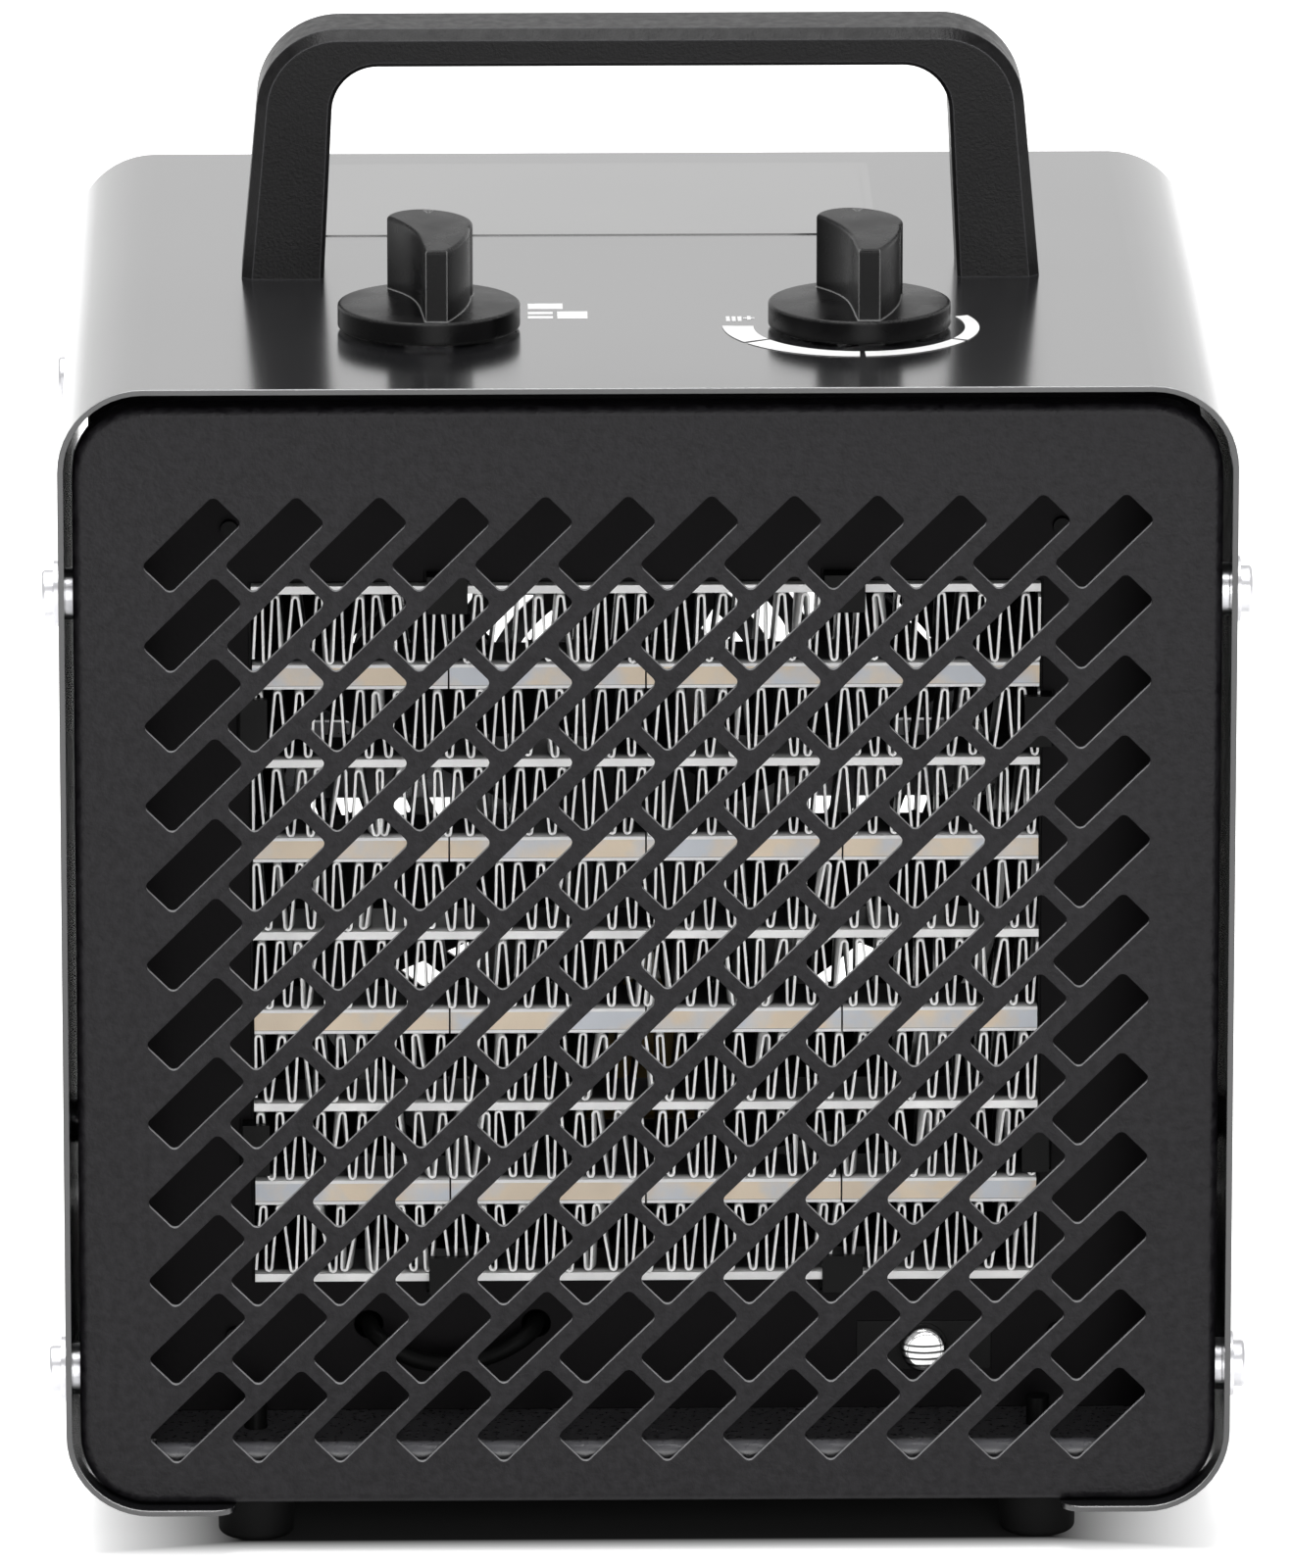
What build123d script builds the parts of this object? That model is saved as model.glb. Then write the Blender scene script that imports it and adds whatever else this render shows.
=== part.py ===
from build123d import *
import os
from math import cos, radians, sin

# Ceramic fan heater in a folded steel case. Millimetres.
# +X is the right-hand side seen from the front, +Y runs from the grille to the rear, +Z is up.
# The origin lies on the floor under the middle of the object's overall box.

# Folded case
case_width = 200.0
case_depth = 178.0
case_height = 199.5
case_corner = 14.5
steel = 1.0
foot_drop = 8.0
lip_width = 29.0
lip_corner = 4.0
fit_gap = 0.3

# Front and rear panels
panel_recess = 3.0
panel_side_gap = 1.4
panel_top_gap = 3.0
panel_floor_gap = 0.2
panel_corner = 12.0
panel_bend = 1.6
panel_flange = 20.0
panel_foot_flange = 6.0

# Slanted slots of the front grille
slot_length = 17.5
slot_width = 7.0
slot_corner = 1.2
slot_pitch = 14.07
slot_columns = 12
slot_rows = 12
slot_angle = 45.0
slot_field_drop = 4.1

# Round intake of the rear panel
intake_first_radius = 14.0
intake_ring_pitch = 8.0
intake_ring_width = 4.0
intake_rings = 7
intake_spokes = 6
intake_spoke_width = 6.0

# Base tray
tray_height = 8.6
tray_setback = 3.5
tray_bend = 2.5
tray_upstand = 8.0
tray_corner_notch = 1.0

# Element baffle
baffle_setback = 23.5
baffle_corner = 12.0
baffle_foot = 10.0

# Ceramic element
core_length = 135.2
core_depth = 15.0
core_rise = 23.7
core_proud = 1.5
core_gap = 0.4
bar_count = 4
stones_per_bar = 4
stone_gap = 0.3
bar_thickness = 4.3
plate_thickness = 1.4
plate_pitch = 30.7
fin_waves = 39
fin_wall = 0.3
fin_open_width = 1.9
terminal_length = 12.0
terminal_width = 6.3
terminal_thickness = 0.8
terminal_gap = 0.2

# Element holders
rail_height = 5.0
rail_depth = 13.5
holder_width = 7.2
clip_width = 7.0
clip_spacing = 68.0
clip_thickness = 1.5
clip_arm = 2.0
clip_reach = 4.6
side_clip_reach = 2.7
side_clip_height = 9.0
side_clip_spacing = 76.0
ear_height = 10.0
ear_thickness = 3.0
element_screw_diameter = 3.0
element_screw_head = 6.0
element_screw_head_height = 2.0
element_screw_point = 1.5

# Thermal cut-out
cutout_x = 48.2
cutout_rise = 11.2
window_width = 23.3
window_height = 8.8
carrier_flange = 2.5
carrier_flange_thickness = 2.0
carrier_depth = 9.0
cutout_diameter = 8.0
cutout_proud = 3.4
cutout_dome = 1.2
cutout_body_depth = 5.0

# Lead under the element
lead_diameter = 3.0
lead_hole_gap = 1.0
lead_hole_left_x = -48.0
lead_hole_right_x = -19.0
lead_hole_rise = 15.5
lead_sag_rise = 9.5
lead_front_reach = 4.5

# Fan bulkhead and impeller
bulkhead_setback = 50.0
collar_radius = 64.0
collar_depth = 20.0
impeller_radius = 61.5
impeller_hub_radius = 17.0
impeller_hub_depth = 16.0
impeller_start = 2.0
hub_skin = 2.0
hub_boss_radius = 5.0
blade_count = 7
blade_thickness = 1.4
blade_root_chord = 17.0
blade_tip_chord = 32.0
blade_root_pitch = 48.0
blade_tip_pitch = 24.0
blade_root_sink = 2.5

# Fan motor
shaft_diameter = 4.0
running_gap = 0.05
shaft_end_reach = 3.0
stack_width = 60.0
stack_height_up = 24.0
stack_height_down = 50.0
stack_depth = 20.0
rotor_diameter = 26.0
air_gap = 0.5
coil_window_width = 36.0
coil_window_height = 17.0
coil_leg_height = 12.0
coil_wall = 7.0
coil_side_gap = 1.0
bridge_height = 16.0
bridge_thickness = 3.0
bridge_stand = 8.0
bush_diameter = 10.0
bush_length = 6.0
bush_hub_diameter = 15.0
fan_to_motor = 5.0
bracket_width = 14.0
bracket_thickness = 1.5
bracket_edge_gap = 0.25
bracket_foot = 12.0
motor_screw_diameter = 4.0
motor_screw_head = 7.5
motor_screw_head_height = 2.6
motor_screw_spacing = 50.0
bracket_screw_point = 3.0

# Rotary controls
knob_spacing = 73.8
knob_setback = 43.5
knob_radius = 15.65
knob_gap = 0.6
knob_rim_height = 4.0
knob_crown = 0.7
knob_recess_radius = 11.0
knob_recess_depth = 3.0
grip_reach = 15.1
grip_height_front = 17.1
grip_height_back = 17.6
grip_nose_left = -0.6
grip_nose_right = 3.1
grip_half_width = 7.1
grip_right_bulge_x = 6.1
grip_right_bulge_y = -6.3
grip_widest_y = 2.0
grip_right_shoulder_x = 5.3
grip_right_shoulder_y = 11.6
grip_left_shoulder_x = -4.6
grip_left_shoulder_y = 14.2
grip_heel_y = 9.9
grip_hollow_x = -3.2
grip_hollow_y = 1.7
grip_waist_x = -1.4
grip_waist_y = -6.4
grip_edge_round = 0.5
knob_edge_round = 0.4
pointer_width = 1.6
pointer_length = 2.0
pointer_depth = 0.35
pointer_inset = 0.9
spindle_diameter = 5.0
spindle_flat = 1.3
spindle_rise = 13.0
spindle_sink = 10.0
bushing_diameter = 10.0
bushing_rise = 2.8
control_nut_flats = 14.0
control_nut_height = 2.2
control_hole_gap = 0.2
thermostat_body_radius = 14.0
thermostat_body_height = 19.0
switch_body_width = 27.0
switch_body_height = 24.0
spade_width = 6.3
spade_thickness = 0.8
spade_length = 9.0
spade_pitch = 8.0

# Carrying handle
handle_setback = 80.0
handle_depth = 16.0
handle_base_half_width = 69.3
handle_shoulder_half_width = 65.3
handle_height = 44.2
grip_thickness = 6.5
leg_base_width = 14.3
leg_shoulder_width = 12.2
handle_outer_corner = 14.5
handle_inner_corner = 8.0
handle_chamfer = 1.8
handle_inner_chamfer = 0.7
handle_screw_diameter = 4.0
handle_screw_spacing = 7.0
handle_screw_depth = 14.0
handle_screw_head = 6.6
handle_screw_head_height = 2.4

# Label plate
label_width = 100.0
label_depth = 55.4
label_thickness = 0.2
label_corner = 1.5
label_setback = 113.3
label_offset = -8.0

# Case screws and rivet nuts
case_screw_diameter = 4.0
case_screw_hole = 4.4
case_screw_flange = 11.2
case_screw_flange_height = 1.0
case_screw_head = 8.0
case_screw_head_height = 2.0
case_screw_recess = 4.4
case_screw_recess_width = 1.0
case_screw_recess_depth = 1.2
case_screw_round = 0.6
case_screw_length = 9.0
case_screw_setback = 12.0
case_screw_upper_drop = 38.5
case_screw_lower_drop = 176.5
rivet_flange = 9.0
rivet_body = 6.0
rivet_body_length = 6.0

# Feet
foot_diameter = 13.6
foot_taper = 0.3
foot_round = 1.0
foot_inset = 32.4
foot_setback = 17.0
foot_notch_gap = 1.0
foot_screw_diameter = 4.0
foot_screw_hole = 4.2
foot_screw_head = 7.6
foot_screw_head_height = 2.4
foot_screw_well = 8.6
foot_screw_well_depth = 10.0
foot_screw_tip = 5.0

# Cable gland and terminal block
gland_reach = 9.0
gland_inset = 28.0
gland_rise = 22.0
gland_bore = 8.0
gland_thread = 12.0
gland_hex = 17.0
gland_hex_height = 5.0
gland_dome_inset = 1.0
gland_dome_tip = 11.0
gland_inside = 8.0
gland_nut_height = 4.0
gland_hole_gap = 0.1
terminal_block_width = 30.0
terminal_block_depth = 18.0
terminal_block_height = 15.0
terminal_block_inset = 32.0
terminal_block_setback = 34.0
terminal_ways = 3
terminal_well = 5.0
terminal_well_depth = 9.0
supply_drop = 22.0
supply_side_gap = 6.0

# Places worked out from the sizes above
front_y = -(case_depth + gland_reach) / 2
rear_y = front_y + case_depth
case_bottom = foot_drop
case_top = case_bottom + case_height
case_mid_z = (case_top + case_bottom) / 2
ceiling = case_top - steel
wall_inside = case_width / 2 - steel
lip_opening = case_width - 2 * lip_width

panel_half_width = wall_inside - panel_side_gap
panel_top = ceiling - panel_top_gap
panel_bottom = case_bottom + steel + panel_floor_gap
panel_height = panel_top - panel_bottom
panel_mid_z = (panel_top + panel_bottom) / 2
grille_face = front_y + panel_recess
rear_face = rear_y - panel_recess

floor_top = panel_bottom + steel + tray_height
floor_underside = floor_top - steel
tray_front = grille_face + tray_setback
tray_rear = rear_face - tray_setback
tray_half_width = panel_half_width - steel - fit_gap
tray_tongue_half_width = panel_half_width - panel_corner - tray_corner_notch
tray_wide_front = grille_face + panel_foot_flange + tray_corner_notch
tray_wide_rear = rear_face - panel_foot_flange - tray_corner_notch

baffle_front = grille_face + baffle_setback
baffle_back = baffle_front + steel
baffle_half_width = tray_half_width - steel - fit_gap

core_bottom = floor_top + core_rise
core_height = bar_count * plate_pitch + plate_thickness
core_top = core_bottom + core_height
core_mid_z = (core_top + core_bottom) / 2
core_half_length = core_length / 2
core_front = baffle_front - core_proud
core_back = core_front + core_depth
core_mid_y = (core_front + core_back) / 2
fin_height = (plate_pitch - plate_thickness - bar_thickness) / 2
fin_period = (core_length - fin_open_width - 2 * fin_wall) / (fin_waves - 0.5)
holder_outside = core_half_length + holder_width
clip_front = core_front - terminal_gap - clip_thickness

bulkhead_front = baffle_front + bulkhead_setback
bulkhead_back = bulkhead_front + steel
axis_z = core_mid_z
impeller_front = bulkhead_front + impeller_start
impeller_back = impeller_front + impeller_hub_depth
bridge_front = impeller_back + fan_to_motor
stack_front = bridge_front + bridge_thickness + bridge_stand
stack_back = stack_front + stack_depth
bridge_back = stack_back + bridge_stand + bridge_thickness
shaft_rear = bridge_back + shaft_end_reach

knob_y = front_y + knob_setback
switch_x = -knob_spacing / 2
thermostat_x = knob_spacing / 2
knob_bottom = case_top + knob_gap
knob_rim_top = knob_bottom + knob_rim_height
knob_ceiling = knob_bottom + knob_recess_depth
spindle_top = case_top + spindle_rise
spindle_foot = ceiling - spindle_sink

handle_front = front_y + handle_setback
handle_back = handle_front + handle_depth
handle_mid_y = (handle_front + handle_back) / 2
leg_mid_x = handle_base_half_width - leg_base_width / 2

foot_x = case_width / 2 - foot_inset
foot_ys = (front_y + foot_setback, rear_y - foot_setback)
case_screw_ys = (front_y + case_screw_setback, rear_y - case_screw_setback)
case_screw_zs = (case_top - case_screw_upper_drop, case_top - case_screw_lower_drop)
gland_x = case_width / 2 - gland_inset
gland_z = floor_top + gland_rise
bracket_half_span = baffle_half_width - bracket_edge_gap - bracket_foot - bracket_thickness / 2
bracket_screw_x = bracket_half_span + bracket_foot / 2 - bracket_thickness / 2
terminal_block_x = case_width / 2 - terminal_block_inset
terminal_block_y = rear_y - terminal_block_setback
supply_x = bracket_half_span + supply_side_gap
supply_z = case_top - supply_drop

os.makedirs("parts", exist_ok=True)
finished = []


def keep(builder, name):
    """Label a finished piece and write it to its own file."""
    builder.part.label = name
    export_step(builder.part, f"parts/{name}.step")
    finished.append(name)


def upright(y):
    """A plane that faces the front at depth y, with local x = X and local y = Z."""
    return Plane.XZ.offset(-y)


def side_plane(x, facing):
    """A plane across the case at x that faces +X (facing 1) or -X (facing -1)."""
    return Plane(origin=(x, 0, 0), x_dir=(0, facing, 0), z_dir=(facing, 0, 0))


# Outer cover
with BuildPart() as outer_cover:
    with BuildSketch(upright(rear_y)):
        with Locations((0, case_mid_z)):
            RectangleRounded(case_width, case_height, case_corner)
            RectangleRounded(
                case_width - 2 * steel, case_height - 2 * steel, case_corner - steel, mode=Mode.SUBTRACT
            )
        with Locations((0, case_bottom)):
            Rectangle(lip_opening, 2 * steel + panel_floor_gap, mode=Mode.SUBTRACT)
    extrude(amount=case_depth)
    lip_edges = outer_cover.edges().filter_by(Axis.Z).filter_by(
        lambda edge: abs(abs(edge.center().X) - lip_opening / 2) < fit_gap
    )
    fillet(lip_edges, lip_corner)
    with BuildSketch(Plane.XY.offset(case_bottom)):
        with Locations([(x, y) for x in (-foot_x, foot_x) for y in foot_ys]):
            Circle(foot_diameter / 2 + foot_notch_gap)
    extrude(amount=steel, mode=Mode.SUBTRACT)
    with BuildSketch(Plane.XY.offset(ceiling)):
        with Locations((switch_x, knob_y), (thermostat_x, knob_y)):
            Circle(bushing_diameter / 2 + control_hole_gap)
        for side in (-1, 1):
            with Locations((side * leg_mid_x, handle_mid_y)):
                with GridLocations(0, handle_screw_spacing, 1, 2):
                    Circle(handle_screw_diameter / 2 + control_hole_gap)
    extrude(amount=steel, mode=Mode.SUBTRACT)
    with BuildSketch(side_plane(case_width / 2, 1)):
        with Locations([(y, z) for y in case_screw_ys for z in case_screw_zs]):
            Circle(case_screw_hole / 2)
    extrude(amount=-case_width, mode=Mode.SUBTRACT)
keep(outer_cover, "outer_cover")


def pressed_pan(face_y, inward):
    """Pressed panel with its edges bent away from face_y; inward is 1 at the front, -1 at the rear."""
    with BuildPart() as pan:
        with BuildSketch(upright(face_y)):
            with Locations((0, panel_mid_z)):
                RectangleRounded(2 * panel_half_width, panel_height, panel_corner)
        extrude(amount=-inward * panel_flange)
        outer_rim = pan.edges().filter_by(lambda edge: abs(edge.center().Y - face_y) < fit_gap)
        fillet(outer_rim, panel_bend)
        with BuildSketch(upright(face_y + inward * steel)):
            with Locations((0, panel_mid_z)):
                RectangleRounded(
                    2 * (panel_half_width - steel), panel_height - 2 * steel, panel_corner - steel
                )
        extrude(amount=-inward * panel_flange, mode=Mode.SUBTRACT)
        with BuildSketch(upright(face_y + inward * panel_foot_flange)):
            with Locations((0, panel_bottom), (0, panel_top)):
                Rectangle(2 * panel_half_width, 2 * panel_corner)
        extrude(amount=-inward * panel_flange, mode=Mode.SUBTRACT)
        screw_y = face_y + inward * (case_screw_setback - panel_recess)
        with BuildSketch(side_plane(panel_half_width, 1)):
            with Locations([(screw_y, z) for z in case_screw_zs]):
                Circle(rivet_body / 2)
        extrude(amount=-2 * panel_half_width, mode=Mode.SUBTRACT)
    return pan.part


# Front grille
front_pan = pressed_pan(grille_face, 1)
with BuildPart() as front_grille:
    add(front_pan)
    with BuildSketch(upright(grille_face + steel)):
        with Locations((0, panel_mid_z - slot_field_drop)):
            with GridLocations(slot_pitch, slot_pitch, slot_columns, slot_rows):
                RectangleRounded(slot_length, slot_width, slot_corner, rotation=slot_angle)
    extrude(amount=steel, mode=Mode.SUBTRACT)
keep(front_grille, "front_grille")

# Rear panel with its round intake
rear_pan = pressed_pan(rear_face, -1)
with BuildPart() as rear_panel:
    add(rear_pan)
    with BuildSketch(upright(rear_face)):
        with Locations((0, axis_z)):
            for ring in reversed(range(intake_rings)):
                middle = intake_first_radius + ring * intake_ring_pitch
                Circle(middle + intake_ring_width / 2)
                Circle(middle - intake_ring_width / 2, mode=Mode.SUBTRACT)
            with PolarLocations(0, intake_spokes):
                Rectangle(
                    2 * collar_radius, intake_spoke_width, align=(Align.MIN, Align.CENTER),
                    mode=Mode.SUBTRACT,
                )
        with Locations((gland_x, gland_z)):
            Circle(gland_thread / 2 + gland_hole_gap)
    extrude(amount=steel, mode=Mode.SUBTRACT)
keep(rear_panel, "rear_panel")

# Base tray: floor, bent-down front and rear flanges, turned-up sides
with BuildPart() as base_tray:
    with BuildSketch(Plane.XY.offset(floor_underside)):
        with Locations((0, (tray_wide_front + tray_wide_rear) / 2)):
            Rectangle(2 * tray_half_width, tray_wide_rear - tray_wide_front)
        with Locations((0, (tray_front + tray_rear) / 2)):
            Rectangle(2 * tray_tongue_half_width, tray_rear - tray_front)
    extrude(amount=steel)
    with BuildSketch(Plane.XY.offset(floor_underside)):
        for y in (tray_front + steel / 2, tray_rear - steel / 2):
            with Locations((0, y)):
                Rectangle(2 * tray_tongue_half_width, steel)
    extrude(amount=-(tray_height - steel))
    bend_edges = base_tray.edges().filter_by(Axis.X).filter_by(
        lambda edge: abs(edge.center().Z - floor_top) < fit_gap
        and abs(abs(edge.center().Y - (tray_front + tray_rear) / 2) - (tray_rear - tray_front) / 2) < fit_gap
    )
    fillet(bend_edges, tray_bend)
    inner_bends = base_tray.edges().filter_by(Axis.X).filter_by(
        lambda edge: abs(edge.center().Z - floor_underside) < fit_gap
        and abs(abs(edge.center().Y - (tray_front + tray_rear) / 2) - (tray_rear - tray_front) / 2 + steel)
        < fit_gap
    )
    fillet(inner_bends, tray_bend - steel)
    with BuildSketch(Plane.XY.offset(floor_top)):
        for side in (-1, 1):
            with Locations((side * (tray_half_width - steel / 2), (tray_wide_front + tray_wide_rear) / 2)):
                Rectangle(steel, tray_wide_rear - tray_wide_front)
    extrude(amount=tray_upstand)
    with BuildSketch(Plane.XY.offset(floor_underside)):
        with Locations([(x, y) for x in (-foot_x, foot_x) for y in foot_ys]):
            Circle(foot_screw_diameter / 2)
    extrude(amount=steel, mode=Mode.SUBTRACT)
keep(base_tray, "base_tray")

clip_xs = (-clip_spacing / 2, clip_spacing / 2)
side_clip_zs = (core_mid_z - side_clip_spacing / 2, core_mid_z + side_clip_spacing / 2)
ear_mid_x = core_half_length + holder_width / 2
ear_mid_zs = (
    core_bottom - rail_height - ear_height / 2,
    core_top + rail_height + ear_height / 2,
)
window_z = floor_top + cutout_rise
lead_hole_z = floor_top + lead_hole_rise

# Element baffle
with BuildPart() as element_baffle:
    with BuildSketch(upright(baffle_back)) as baffle_face:
        with Locations((0, floor_top)):
            Rectangle(
                2 * baffle_half_width, ceiling - fit_gap - floor_top, align=(Align.CENTER, Align.MIN)
            )
        fillet(baffle_face.vertices().group_by(Axis.Y)[-1], baffle_corner)
        with Locations((0, core_mid_z)):
            Rectangle(core_length + 2 * core_gap, core_height + 2 * core_gap, mode=Mode.SUBTRACT)
        with Locations([(x, core_mid_z) for x in clip_xs]):
            Rectangle(
                clip_width + 2 * core_gap, core_height + 2 * (clip_arm + core_gap), mode=Mode.SUBTRACT
            )
        with Locations([(0, z) for z in side_clip_zs]):
            Rectangle(
                core_length + 2 * (clip_arm + core_gap), side_clip_height + 2 * core_gap,
                mode=Mode.SUBTRACT,
            )
        with Locations((cutout_x, window_z)):
            Rectangle(window_width, window_height, mode=Mode.SUBTRACT)
        with Locations((lead_hole_left_x, lead_hole_z), (lead_hole_right_x, lead_hole_z)):
            Circle(lead_diameter / 2 + lead_hole_gap, mode=Mode.SUBTRACT)
        with Locations([(x, z) for x in (-ear_mid_x, ear_mid_x) for z in ear_mid_zs]):
            Circle(element_screw_diameter / 2, mode=Mode.SUBTRACT)
    extrude(amount=steel)
    with BuildSketch(Plane.XY.offset(floor_top)):
        with Locations((0, baffle_front)):
            Rectangle(2 * baffle_half_width, baffle_foot, align=(Align.CENTER, Align.MIN))
    extrude(amount=steel)
keep(element_baffle, "element_baffle")


# Ceramic element
def plate_z(index):
    """Middle height of contact plate number index, counted from the bottom."""
    return core_bottom + plate_thickness / 2 + index * plate_pitch


for index in range(bar_count + 1):
    with BuildPart() as contact_plate:
        with BuildSketch(Plane.XY.offset(plate_z(index) - plate_thickness / 2)):
            with Locations((0, core_mid_y)):
                Rectangle(core_length, core_depth)
        extrude(amount=plate_thickness)
        with BuildSketch(Plane.XY.offset(plate_z(index) - terminal_thickness / 2)):
            with Locations((-core_half_length, core_mid_y)):
                Rectangle(
                    holder_width + terminal_length, terminal_width, align=(Align.MAX, Align.CENTER)
                )
        extrude(amount=terminal_thickness)
    keep(contact_plate, f"contact_plate_{index + 1}")

for index in range(bar_count):
    bar_bottom = plate_z(index) + (plate_pitch - bar_thickness) / 2
    stone_pitch = core_length / stones_per_bar
    with BuildPart() as ceramic_bar:
        with BuildSketch(Plane.XY.offset(bar_bottom)):
            with Locations((0, core_mid_y)):
                with GridLocations(stone_pitch, 0, stones_per_bar, 1):
                    Rectangle(stone_pitch - stone_gap, core_depth)
        extrude(amount=bar_thickness)
    keep(ceramic_bar, f"ceramic_bar_{index + 1}")

fin_closed_width = fin_period - fin_open_width - 2 * fin_wall


def fin_outline(bottom):
    """Corner points of one folded strip that stands on height bottom, walked round once."""
    top = bottom + fin_height
    first = fin_wall + fin_open_width / 2 - core_half_length
    points = [(-core_half_length, bottom)]
    for wave in range(fin_waves):
        middle = first + wave * fin_period
        points.append((middle - fin_open_width / 2, bottom))
        points.append((middle - fin_closed_width / 2, top - fin_wall))
        points.append((middle + fin_closed_width / 2, top - fin_wall))
        points.append((middle + fin_open_width / 2, bottom))
    points.append((core_half_length, bottom))
    points.append((core_half_length, top))
    for wave in reversed(range(fin_waves)):
        middle = first + (wave + 0.5) * fin_period
        points.append((middle + fin_open_width / 2, top))
        points.append((middle + fin_closed_width / 2, bottom + fin_wall))
        points.append((middle - fin_closed_width / 2, bottom + fin_wall))
        points.append((middle - fin_open_width / 2, top))
    points.append((-core_half_length, top))
    return points


for index in range(bar_count):
    lower_fin_bottom = plate_z(index) + plate_thickness / 2
    upper_fin_bottom = lower_fin_bottom + fin_height + bar_thickness
    with BuildPart() as fin_pair:
        for fin_bottom in (lower_fin_bottom, upper_fin_bottom):
            with BuildSketch(upright(core_back)):
                with BuildLine():
                    Polyline(*fin_outline(fin_bottom), close=True)
                make_face()
            extrude(amount=core_depth)
    keep(fin_pair, f"fin_pair_{index + 1}")


def element_rail(contact_z, away):
    """Rail that lies on the core at contact_z, with two clips hooked over the core's front."""
    with BuildPart() as rail:
        with BuildSketch(upright(baffle_back + rail_depth)):
            with Locations((0, contact_z + away * rail_height / 2)):
                Rectangle(core_length, rail_height)
        extrude(amount=rail_depth)
        with BuildSketch(upright(baffle_back)):
            with Locations([(x, contact_z + away * clip_arm / 2) for x in clip_xs]):
                Rectangle(clip_width, clip_arm)
        extrude(amount=baffle_back - clip_front)
        with BuildSketch(upright(clip_front + clip_thickness)):
            with Locations([(x, contact_z + away * (clip_arm - clip_reach) / 2) for x in clip_xs]):
                Rectangle(clip_width, clip_arm + clip_reach)
        extrude(amount=clip_thickness)
    return rail


element_rail_top = element_rail(core_top, 1)
keep(element_rail_top, "element_rail_top")

element_rail_bottom = element_rail(core_bottom, -1)
keep(element_rail_bottom, "element_rail_bottom")


def element_holder(side):
    """Upright holder at one end of the core; side is -1 on the left, 1 on the right."""
    middle_x = side * ear_mid_x
    hook_x = side * (core_half_length + (clip_arm - side_clip_reach) / 2)
    with BuildPart() as holder:
        with BuildSketch(upright(baffle_back + rail_depth)):
            with Locations((middle_x, core_mid_z)):
                Rectangle(holder_width, core_height + 2 * rail_height)
        extrude(amount=rail_depth)
        with BuildSketch(upright(baffle_back + ear_thickness)):
            with Locations([(middle_x, z) for z in ear_mid_zs]):
                Rectangle(holder_width, ear_height)
                Circle(element_screw_diameter / 2 + terminal_gap, mode=Mode.SUBTRACT)
        extrude(amount=ear_thickness)
        with BuildSketch(upright(baffle_back)):
            with Locations([(side * (core_half_length + clip_arm / 2), z) for z in side_clip_zs]):
                Rectangle(clip_arm, side_clip_height)
        extrude(amount=baffle_back - clip_front)
        with BuildSketch(upright(clip_front + clip_thickness)):
            with Locations([(hook_x, z) for z in side_clip_zs]):
                Rectangle(clip_arm + side_clip_reach, side_clip_height)
        extrude(amount=clip_thickness)
    return holder


left_holder = element_holder(-1)
with BuildPart() as element_holder_left:
    add(left_holder.part)
    with BuildSketch(side_plane(-holder_outside, -1)):
        with Locations([(-core_mid_y, plate_z(index)) for index in range(bar_count + 1)]):
            Rectangle(terminal_width + 2 * terminal_gap, terminal_thickness + 2 * terminal_gap)
    extrude(amount=-holder_width, mode=Mode.SUBTRACT)
keep(element_holder_left, "element_holder_left")

element_holder_right = element_holder(1)
keep(element_holder_right, "element_holder_right")

with BuildPart() as element_screws:
    with BuildSketch(upright(baffle_back + ear_thickness)):
        with Locations([(x, z) for x in (-ear_mid_x, ear_mid_x) for z in ear_mid_zs]):
            Circle(element_screw_diameter / 2)
    extrude(amount=ear_thickness + steel + element_screw_point)
    with BuildSketch(upright(baffle_back + ear_thickness + element_screw_head_height)):
        with Locations([(x, z) for x in (-ear_mid_x, ear_mid_x) for z in ear_mid_zs]):
            Circle(element_screw_head / 2)
    extrude(amount=element_screw_head_height)
keep(element_screws, "element_screws")

# Thermal cut-out and its carrier in the baffle's window
carrier_back = baffle_back + carrier_depth
with BuildPart() as cutout_carrier:
    with BuildSketch(upright(carrier_back)):
        with Locations((cutout_x, window_z)):
            Rectangle(window_width, window_height)
    extrude(amount=carrier_depth + steel)
    with BuildSketch(upright(baffle_back + carrier_flange_thickness)):
        with Locations((cutout_x, window_z)):
            Rectangle(window_width + 2 * carrier_flange, window_height + 2 * carrier_flange)
    extrude(amount=carrier_flange_thickness)
    with BuildSketch(upright(baffle_front + cutout_body_depth)):
        with Locations((cutout_x, window_z)):
            Circle(cutout_diameter / 2)
    extrude(amount=cutout_body_depth, mode=Mode.SUBTRACT)
keep(cutout_carrier, "cutout_carrier")

with BuildPart() as thermal_cutout:
    with BuildSketch(upright(baffle_front + cutout_body_depth)):
        with Locations((cutout_x, window_z)):
            Circle(cutout_diameter / 2)
    extrude(amount=cutout_body_depth + cutout_proud)
    fillet(thermal_cutout.edges().sort_by(Axis.Y)[0], cutout_dome)
keep(thermal_cutout, "thermal_cutout")


def lead_radii(points):
    """Largest bend that the two runs beside each corner leave room for."""
    radii = []
    for before, corner, after in zip(points, points[1:], points[2:]):
        first = Vector(*corner) - Vector(*before)
        second = Vector(*after) - Vector(*corner)
        half_turn = radians(first.get_angle(second) / 2)
        reach = 0.45 * min(first.length, second.length)
        radii.append(reach * cos(half_turn) / sin(half_turn))
    return radii


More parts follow.
